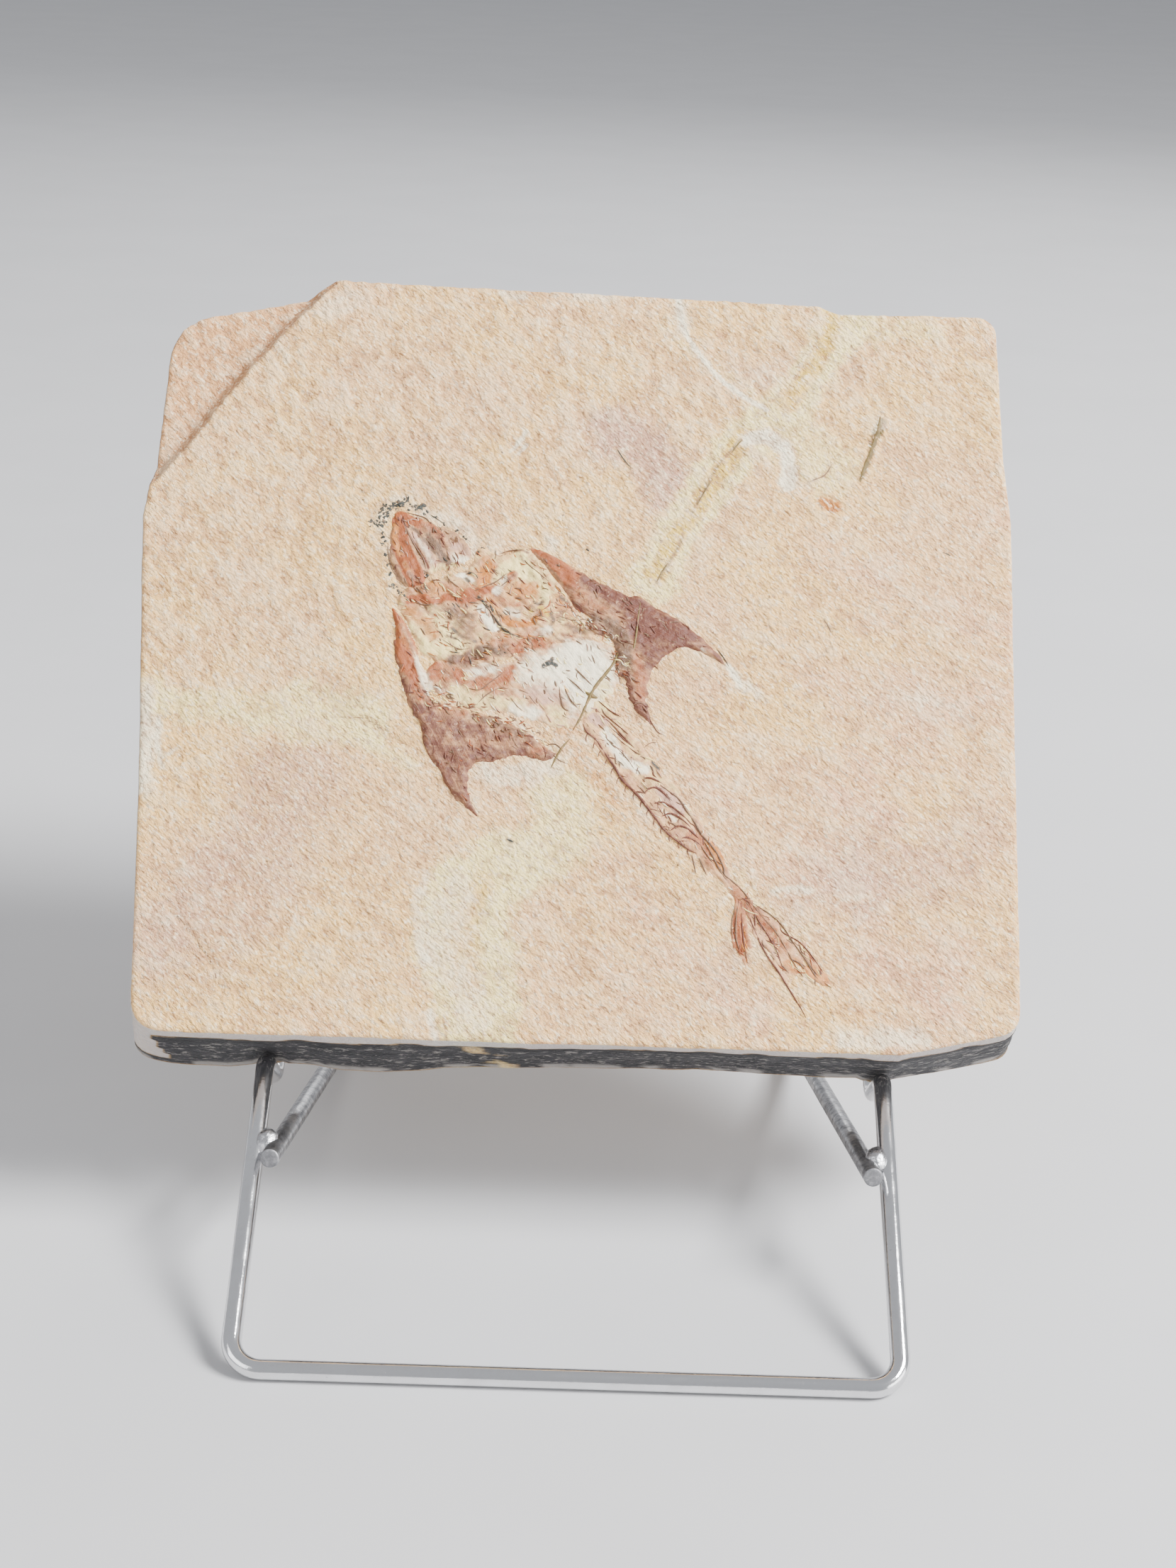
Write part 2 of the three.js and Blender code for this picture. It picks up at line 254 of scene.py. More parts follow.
def halving_faces(front, back):
    """Triangles from a ring to one with half as many points."""
    even, odd, after = front[::2], front[1::2], np.roll(front[::2], -1)
    follow = np.roll(back, -1)
    return np.concatenate([
        np.stack(corners, 1)
        for corners in ((even, back, odd), (odd, back, follow), (odd, follow, after))
    ])


def make_piece(name, points, faces, material, nodes=(), fields=None):
    """A smooth-shaded mesh object in metres that rides on the body and stands for CAD nodes."""
    mesh = bpy.data.meshes.new(name)
    mesh.from_pydata(points.tolist(), [], [f for part in faces for f in part.tolist()])
    mesh.update()
    mesh.polygons.foreach_set("use_smooth", [True] * len(mesh.polygons))
    for field, values in (fields or {}).items():
        kind, key = ("FLOAT_VECTOR", "vector") if values.ndim == 2 else ("FLOAT", "value")
        attribute = mesh.attributes.new(field, kind, "POINT")
        attribute.data.foreach_set(key, values.astype(np.float32).ravel())
    mesh.materials.append(material)
    piece = bpy.data.objects.new(name, mesh)
    bpy.context.scene.collection.objects.link(piece)
    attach(piece, "root")
    if nodes:
        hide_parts(*nodes)


# ---- Colours and materials ----


def paint(red, green, blue):
    """A colour given from 0 to 255 as shown on a screen, as the linear values that shaders use."""
    shown = np.array([red, green, blue]) / 255
    return tuple(np.where(shown <= 0.04045, shown / 12.92, ((shown + 0.055) / 1.055) ** 2.4))


def tint(name, description, colour):
    return bpy.props.FloatVectorProperty(
        name=name, description=description, subtype="COLOR", size=3, min=0, max=1, default=colour)


def length(name, description, millimetres):
    return bpy.props.FloatProperty(
        name=name, description=description, unit="LENGTH", min=0, precision=5,
        default=millimetres * MM)


class Nodes:
    """A material's node tree, with a short call for each kind of node used here."""

    def __init__(self, name):
        self.material = bpy.data.materials.new(name)
        self.material.use_nodes = True
        self.tree = self.material.node_tree
        self.shader = self.tree.nodes["Principled BSDF"]

    def feed(self, socket, value):
        if isinstance(value, bpy.types.NodeSocket):
            self.tree.links.new(value, socket)
        elif socket.type == "RGBA":
            socket.default_value = (*value, 1)
        else:
            socket.default_value = value

    def add(self, kind, inputs, **settings):
        node = self.tree.nodes.new(kind)
        for key, value in settings.items():
            setattr(node, key, value)
        for key, value in inputs.items():
            self.feed(node.inputs[key], value)
        return node

    def field(self, name, output="Fac"):
        return self.add("ShaderNodeAttribute", {}, attribute_name=name).outputs[output]

    def object_mm(self):
        """Object coordinates in millimetres."""
        place = self.add("ShaderNodeTexCoord", {}).outputs["Object"]
        scale = (1 / MM,) * 3
        return self.add("ShaderNodeMapping", {"Vector": place, "Scale": scale}).outputs[0]

    def turned(self, vector, angle, scale):
        """The vector turned in the bed plane by an angle in degrees, then stretched."""
        turn = self.add(
            "ShaderNodeMapping", {"Vector": vector, "Rotation": (0, 0, math.radians(angle))})
        return self.add("ShaderNodeMapping", {"Vector": turn.outputs[0], "Scale": scale}).outputs[0]

    def noise(self, vector, size, detail=3.0, roughness=0.55):
        inputs = {"Vector": vector, "Scale": 1 / size, "Detail": detail, "Roughness": roughness}
        return self.add("ShaderNodeTexNoise", inputs).outputs["Fac"]

    def math(self, operation, a, b):
        return self.add("ShaderNodeMath", {0: a, 1: b}, operation=operation).outputs[0]

    def plus(self, a, b):
        return self.math("ADD", a, b)

    def times(self, a, b):
        return self.math("MULTIPLY", a, b)

    def span(self, value, low, high, to_low=0.0, to_high=1.0):
        """The value moved smoothly from the range low..high to another range."""
        inputs = {"Value": value, "From Min": low, "From Max": high,
                  "To Min": to_low, "To Max": to_high}
        return self.add("ShaderNodeMapRange", inputs, interpolation_type="SMOOTHSTEP").outputs[0]

    def mix(self, factor, a, b):
        inputs = {0: factor, 6: a, 7: b}
        return self.add("ShaderNodeMix", inputs, data_type="RGBA").outputs[2]

    def bump(self, height, millimetres, strength=1.0, under=None):
        inputs = {"Height": height, "Distance": millimetres * MM, "Strength": strength}
        if under is not None:
            inputs["Normal"] = under
        return self.add("ShaderNodeBump", inputs).outputs[0]

    def finish(self, **inputs):
        for key, value in inputs.items():
            self.feed(self.shader.inputs[key.replace("_", " ")], value)
        return self.material


# ---- Settings a user would change ----


class FossilStoneSettings(bpy.types.PropertyGroup):
    """Relief and colours of the limestone and its stains."""

    swell: length("Swell", "Height of the slow swell of the fossil face", 0.3)
    tooling: length("Tooling", "Height of the small dents left on the face", 0.24)
    side_relief: length("Side relief", "How rough the trimmed sides are", 0.9)
    back_relief: length("Back relief", "How rough the split back is", 1.1)
    face: tint("Face", "Peach-beige of the fossil face", paint(238, 189, 130))
    face_warm: tint("Warm face", "Yellower patches of the face", paint(244, 196, 118))
    face_pink: tint("Pink face", "Pinker patches of the face", paint(235, 180, 136))
    low_bed: tint("Lower bed", "The bed under the flaked corner", paint(228, 168, 110))
    # The sides' near-black is mostly painted shade: the stone's own grey darkened as if the sides lay
    # in shadow
    side: tint("Side", "Dark grey of the trimmed sides", paint(27, 27, 30))
    side_chip: tint("Side chips", "Fresh chips on the trimmed sides", paint(156, 150, 144))
    # The pale grey of the worn edge, partly painted light: the sides are kept pale where they face the
    # light
    arris: tint("Arris", "Bruised edge round the face", paint(192, 193, 198))


class FossilPigmentSettings(bpy.types.PropertyGroup):
    """Colours of the stains and of the bone."""

    cream: tint("Cream", "Bleached bands in the stone", paint(250, 226, 150))
    straw: tint("Straw", "Yellow cores of the bands", paint(228, 190, 88))
    # At the face's lower corners this tint is painted sheen; elsewhere it is the stone's and bone's own
    # colour
    lilac: tint("Lilac", "Cool pinkish-grey patches", paint(202, 158, 134))
    clay: tint("Clay", "Orange-brown bone", paint(158, 84, 42))
    ochre: tint("Ochre", "Yellow-orange iron stains", paint(194, 120, 48))
    umber: tint("Umber", "Greyish-brown bone", paint(114, 86, 64))
    olive: tint("Olive", "Olive-brown bone and sticks", paint(116, 96, 50))
    rust: tint("Rust", "Dark red-brown bone", paint(104, 58, 44))
    pale: tint("Pale", "White mineral and fresh chips", paint(255, 243, 210))
    ink: tint("Ink", "Dark grey-green mineral", paint(56, 60, 54))


class FossilStandSettings(bpy.types.PropertyGroup):
    """The plated wire."""

    chrome: tint("Chrome", "Colour of the bright plating", (0.80, 0.80, 0.81))
    weld: tint("Weld", "Colour of the plated weld metal", (0.62, 0.62, 0.63))
    wire_sides: bpy.props.IntProperty(
        name="Wire sides", description="Faces round the wire", default=32, min=12, max=64)


class FossilStageSettings(bpy.types.PropertyGroup):
    """Floor, lights and camera."""

    floor: tint("Floor", "Pale floor", (0.54, 0.54, 0.55))
    key_power: bpy.props.FloatProperty(
        name="Key light", description="Power of the main soft light", default=68, unit="POWER")
    fill_power: bpy.props.FloatProperty(
        name="Fill light", description="Power of the fill light", default=9, unit="POWER")
    world: bpy.props.FloatProperty(
        name="Surround", description="Brightness of the surround", default=0.6, min=0)
    lens: bpy.props.FloatProperty(
        name="Lens", description="Focal length in millimetres", default=54.0, min=10)


# ---- The stone's face and its stains (bed frame, mm) ----

# Corners anticlockwise from the lower left: [across, up, rounding, flare of the back edge].
SLAB_CORNERS = np.array([
    [-74.2, SLAB_BASE, 6, -3.6], [54, SLAB_BASE, 0, 1], [74.3, 3.6, 4, 3],
    [74.6, 50, 0, 1.5], [75.1, 96, 0, 0.8], [74.1, 108, 0, 0.8], [73.2, 137.7, 4, 0.8],
    [44, 137.5, 0, 0], [40.5, 138.9, 0, 0], [0, 139.8, 0, 0], [-48.5, 141, 0, 0],
    [-54, 138, 0, 0], [-78.2, 132.6, 8, 0], [-78.9, 103, 0, 0], [-80, 92, 0, 0], [-76.2, 40, 0, -1],
])
MAIN_CORNERS = (0, 2, 6, 12)
FLAKE_EDGE = [(-44, 144), (-46.5, 141.5), (-55, 132), (-64.5, 119.3), (-73.5, 105), (-81, 95.2),
              (-86, 88)]
PIT_PLACE, PIT_RADIUS = (71.3, 127.3), 0.9  # a small round pit near the right edge
# Gouges that are also drawn as a dark stain and as a crumbled line.
FLAKE_GOUGE = [(-58.5, 125), (-56.5, 121), (-54.5, 118.3), (-51.5, 116)]
TOP_GOUGE = [(-53.5, 132.5), (-51, 130), (-47, 128)]
UPPER_GOUGE = [(-39.5, 128.8), (-37.5, 126.4), (-35.5, 125)]
LEFT_CRACK = [(-43.6, 55.4), (-40, 55.6), (-37.2, 54.9), (-33, 52.2), (-29, 49.4)]
LOW_CRACK = [(-69.1, 20.3), (-64.9, 16), (-61.2, 11.2), (-59, 6.5)]
SIDE_GOUGE = [(-47.5, 71), (-45.6, 69)]
BAND_CRACK = [(43, 107), (41.5, 104.4), (38.6, 102.8)]  # a dark line, with no groove
# The dark crack that curls through the skull.
SKULL_CRACK = [(-19.6, 78.4), (-18.4, 77.2), (-17.2, 75.6), (-16, 73.9), (-14.9, 72.5),
               (-13.4, 71.6), (-11.9, 71.1), (-10.6, 70.4)]
# Short gouges left by the tool that cleaned the face: half width, depth, path.
GOUGES = [
    (0.35, 0.45, FLAKE_GOUGE),
    (0.3, 0.3, TOP_GOUGE),
    (0.35, 0.35, UPPER_GOUGE),
    (0.25, 0.25, [(-29.5, 120.5), (-27.5, 118.6)]),
    (0.3, 0.35, SIDE_GOUGE),
    (0.25, 0.3, [(-0.6, 31), (0.8, 29.3), (2, 28)]),
    (0.3, 0.35, LEFT_CRACK),
    (0.3, 0.4, LOW_CRACK),
    (0.25, 0.25, [(-43, 22.5), (-36, 15.8), (-29, 9)]),
    (0.3, 0.25, [(34, 106), (37, 103), (39, 101.2)]),
    (0.25, 0.2, [(57, 75), (61, 70.5)]),
    (0.25, 0.2, [(8, 112.5), (12, 107), (16.5, 104.5)]),
]


def flake_depth(points):
    """How far a point of the face lies past the broken edge of the missing flake, in mm."""
    outline = np.array(FLAKE_EDGE + [(-120, 88), (-120, 144)])
    return depth_inside(points, outline) + 0.35 * noise(pad(points), 5, 2, 61)


def pad(points, depth=0.0):
    """Face points with a depth, for the noise, which works in three dimensions."""
    return np.column_stack((points, np.full(len(points), depth)))


def turned(points, degrees, along, across):
    """Points turned so that x runs along an angle, then divided by a grain's two sizes."""
    angle = math.radians(degrees)
    x = points[:, 0] * math.cos(angle) + points[:, 1] * math.sin(angle)
    y = points[:, 1] * math.cos(angle) - points[:, 0] * math.sin(angle)
    return np.column_stack((x / along, y / across))


def tool_marks(points):
    """Small dents longer than they are wide, steep at the top left and flatter lower down."""
    steep = noise(pad(turned(points, -52, 2.1, 1.15)), 1, 1, 5)
    flat = noise(pad(turned(points, -28, 2.4, 1.15)), 1, 1, 6)
    broad = noise(pad(turned(points, -42, 8, 4)), 1, 2, 8)
    share = ramp(points[:, 1] - 0.5 * points[:, 0] + 10 * noise(pad(points), 30, 1, 7), 45, 105)
    return (0.75 * (flat + (steep - flat) * share) + 0.3 * broad) * (1 + 0.5 * share)


def swell(points):
    """The slow rise and fall of a bedding plane."""
    return noise(pad(points), 46, 3, 3)


def face_height(points, settings, fine=1.0):
    """Height w of the fossil face: swell, dents and gouges, less the bed lost at the flake."""
    lost = flake_depth(points)
    height = settings.swell / MM * swell(points) * 0.8
    height += settings.tooling / MM * fine * tool_marks(points)
    for half_width, depth, path in GOUGES:
        height -= fine * depth * ramp(-line_distance(points, spline(path)), -2.2 * half_width, 0)
    from_pit = np.linalg.norm(points - np.array(PIT_PLACE), axis=1)
    height -= 0.4 * ramp(-np.abs(from_pit - PIT_RADIUS), -0.6, 0)
    step = np.clip(lost / BREAK_RUN, 0, 1)
    return height - (TOP_BED + 0.25 * noise(pad(points), 14, 2, 9)) * step


# Stains painted one over another: pigment, strength, half width, softness, path.
STONE_STAINS = [
    # cool patches; the three at the lower left and lower right are painted sheen, a cool reflection off
    # the face
    ("lilac", 0.55, 9, 9, [(-66, 14), (-55, 30), (-50, 44)]),
    ("lilac", 0.5, 6, 7, [(48, 34), (58, 30), (66, 38)]),
    ("lilac", 0.45, 4, 6, [(24, 12), (38, 27), (46, 26)]),
    ("lilac", 0.72, 5, 4.4, [(3, 112), (11, 106), (14, 101)]),
    ("lilac", 0.4, 3, 5, [(52, 62), (66, 60)]),
    ("lilac", 0.4, 3, 4, [(24, 124), (33, 123)]),
    ("lilac", 0.35, 4, 6, [(-32, 98), (-20, 96)]),
    # pale orange patches
    ("clay", 0.22, 3, 3.5, [(-57, 22), (-51, 19), (-49, 14)]),
    ("clay", 0.2, 2, 3, [(-66, 6), (-62, 12), (-60, 22)]),
    ("clay", 0.17, 1.2, 2, [(-45.5, 21), (-40, 15), (-34, 10)]),
    ("clay", 0.14, 3, 5, [(-8, 5), (12, 6), (30, 4)]),
    ("clay", 0.16, 1, 2.2, [(68, 40), (68.5, 70), (70, 112)]),
    ("ochre", 0.2, 3, 4, [(42, 10), (46, 6)]),
    ("ochre", 0.2, 3.5, 4, [(-3, 52), (1, 47), (5, 41)]),
    # the bleached band on the left
    ("cream", 0.9, 2.8, 3.2, [(-78, 57.5), (-66, 56), (-55, 56.5), (-45, 57.5), (-38, 55)]),
    ("cream", 0.6, 1.2, 2.2, [(-50, 52), (-38, 51), (-30, 47.5)]),
    ("straw", 0.35, 0.9, 2.5, [(-72, 55), (-60, 57), (-46, 58)]),
    # Painted highlights: glints where the left edge catches the light
    ("pale", 0.7, 1.6, 2.2, [(-77, 58), (-75.5, 50), (-74.5, 42)]),
    ("pale", 0.6, 0.4, 0.5, [(-73.8, 54), (-73, 48), (-72, 45)]),
    ("pale", 0.6, 0.35, 0.5, [(-71.8, 47), (-70.2, 48.4)]),
    # the bleached zone that runs down from the fish's belly
    ("cream", 0.7, 5, 4, [(-4, 43), (-3, 36), (-6, 31)]),
    ("cream", 0.92, 5.5, 3, [(-13, 29), (-18, 22), (-20, 17)]),
    ("cream", 0.92, 4.5, 2.5, [(-22, 26), (-22, 17), (-20, 8), (-16, -2)]),
    ("cream", 0.8, 4, 3, [(-14, 14), (-14, 6), (-14, -2)]),
    ("straw", 0.55, 1.6, 2.5, [(-16, 27), (-18.5, 20), (-19, 14), (-18.5, 9)]),
    ("pale", 0.4, 3, 2.6, [(-21, 24), (-22, 15), (-18, 4)]),
    ("pale", 0.45, 1, 1.4, [(-26.5, 27), (-27, 20), (-25, 12)]),
    ("pale", 0.7, 0.5, 0.7, [(-24.4, 4), (-23.6, 1), (-22, -3)]),
    ("umber", 0.5, 0.3, 0.5, [(-22, 3.4), (-21.4, 0.6), (-20.4, -3)]),
    # the bleached band at the top right
    ("cream", 0.95, 3.5, 2.6, [(47, 139), (45, 134), (41, 127), (36, 119), (30, 113), (24, 107),
                            (19, 98), (14, 89), (11, 83)]),
    ("cream", 0.6, 5, 4.5, [(33, 114), (38, 108), (42, 106)]),
    ("cream", 0.55, 2.5, 3, [(44, 135), (52, 134), (61, 134)]),
    ("cream", 0.4, 1.2, 2.6, [(12, 133), (30, 117)]),
    ("straw", 0.85, 1.3, 1.6, [(44, 138), (40.5, 127), (34, 118)]),
    ("straw", 0.95, 1.4, 1.3, [(27, 111), (22, 103.5), (17.5, 95), (14, 89), (11.5, 84)]),
    ("clay", 0.2, 1.5, 1.6, [(35.6, 119.6), (33.4, 116.6), (32, 113.8)]),
    ("lilac", 0.4, 0.9, 1.2, [(28.6, 108.4), (29.4, 104.4)]),
    ("pale", 0.85, 1.2, 1, [(27.4, 110.6), (31, 111.4), (34.4, 108.6), (35.3, 104.8), (34.6, 101.9)]),
    ("pale", 0.4, 0.8, 1.2, [(35.4, 102.4), (38.6, 101.8)]),
    ("olive", 0.7, 0.3, 0.4, [(26.6, 110.8), (23, 106.5), (20.7, 102.3), (17.5, 95.5)]),
    ("olive", 0.65, 0.3, 0.4, [(16.3, 92), (15.9, 90), (13.6, 86), (11.6, 82.4)]),
    ("umber", 0.4, 0.2, 0.4, [(31, 118), (35, 122), (38, 127), (40, 131)]),
    # white vein
    ("pale", 1, 0.4, 0.45, [(14.4, 138.8), (15.2, 135), (16, 132), (18.4, 128), (20.7, 124.7),
                              (23, 122.3), (25.5, 120.4), (28, 118.6), (31, 117)]),
    ("pale", 0.5, 1.6, 1.8, [(13.6, 138.5), (15.5, 133.5)]),
    # brown stick, orange spot and small marks
    ("olive", 0.9, 0.45, 0.45, [(51.6, 115.2), (50.4, 112.4), (49.6, 108.5), (47.9, 104)]),
    ("olive", 0.9, 0.8, 0.5, [(51.7, 115.2), (51, 112.8)]),
    ("umber", 0.4, 0.25, 0.4, BAND_CRACK),
    ("ochre", 0.95, 1.1, 0.8, [(41.6, 99.3), (43.3, 98.2)]),
    ("umber", 0.5, 0.2, 0.4, [(40.6, 101), (43.5, 99.8)]),
    ("pale", 0.8, 0.35, 0.5, [(-14.6, 107), (-13.4, 109), (-12.6, 111)]),
    ("pale", 0.8, 0.3, 0.4, [(-13.4, 106.6), (-12.1, 108.6)]),
    ("pale", 0.4, 2, 2.4, [(-49, 134.5), (-46, 137)]),
    ("pale", 0.45, 1, 1.5, [(-57.8, 127.5), (-56, 124)]),
    ("pale", 0.55, 1, 1.2, [(-18, 138.6), (-14, 138.2)]),
    ("pale", 0.5, 1, 1.4, [(-4, 139), (2, 139)]),
    ("pale", 0.6, 0.5, 0.8, [(32.5, 26.6), (36, 27.4), (39, 27.2)]),
    ("pale", 0.45, 0.5, 0.9, [(44, 25.6), (48.5, 26.3)]),
    ("pale", 0.4, 1, 2, [(54, 62), (60, 61.6), (66, 58)]),
    # Painted highlight: a glint near the bottom right of the face
    ("pale", 0.55, 1.5, 1.6, [(44, 1.6), (50, 2.2), (57, 2)]),
    ("pale", 0.8, 0.5, 0.5, [(24.5, 67.2), (25.6, 65.4), (26.6, 63.6)]),
    ("pale", 0.5, 0.9, 1.2, [(26.4, 64.4), (30, 62)]),
    ("pale", 0.5, 0.9, 1.2, [(-8.2, 90), (-6.8, 88.6)]),
    ("ink", 0.6, 0.25, 0.35, [(41.2, 76.5), (42.6, 73.9)]),
    ("ink", 0.5, 0.3, 0.4, [(3.8, 108.2), (6.6, 104.4)]),
    ("ink", 0.5, 0.22, 0.3, [(62.4, 90), (64, 89.4)]),
    ("ink", 0.75, 0.3, 0.3, [(-12.6, 34.2), (-11.8, 33.9)]),
    ("ink", 0.35, 0.3, 0.5, LEFT_CRACK[:-1] + [(-28, 49)]),
    ("ink", 0.38, 0.25, 0.5, LOW_CRACK),
    ("ink", 0.3, 0.25, 0.5, FLAKE_GOUGE),
    ("ink", 0.25, 0.2, 0.4, TOP_GOUGE),
    ("ink", 0.3, 0.3, 0.4, UPPER_GOUGE),
    ("ink", 0.35, 0.25, 0.4, SIDE_GOUGE),
    ("ink", 0.4, 0.35, 0.35, [(-75.6, 109), (-75, 108.2)]),
    # pale halo round the snout, where the dark mineral grows
    ("pale", 0.5, 1.1, 1.6, [(-38, 92), (-36.5, 95.5), (-33, 96.4), (-30, 95), (-27, 93.6),
                              (-22, 91), (-21, 87)]),
    ("pale", 0.28, 0.8, 1.6, [(-37.2, 91), (-36.6, 86.5), (-34.6, 81.8), (-32.6, 79.4)]),
    ("ink", 0.28, 0.7, 1.1, [(-37.8, 92.4), (-36.4, 94.6), (-33.8, 95.8), (-31, 95.2)]),
    ("ink", 0.2, 0.4, 0.8, [(-36.6, 91), (-36.2, 87), (-34.8, 83), (-33.2, 80.6)]),
    ("ink", 0.16, 0.4, 0.8, [(-29, 94), (-25, 92), (-21.4, 88.4)]),
    # colour that has soaked out of the fish into the stone
    ("pale", 0.5, 2.4, 2.5, [(-17, 46), (-13, 45.4), (-6, 47.4)]),
    ("ochre", 0.35, 1.8, 2, [(-5, 56), (-3, 52), (2, 47), (5, 42)]),
    ("cream", 0.4, 2, 3, [(26, 29), (31, 23), (36, 20)]),
]

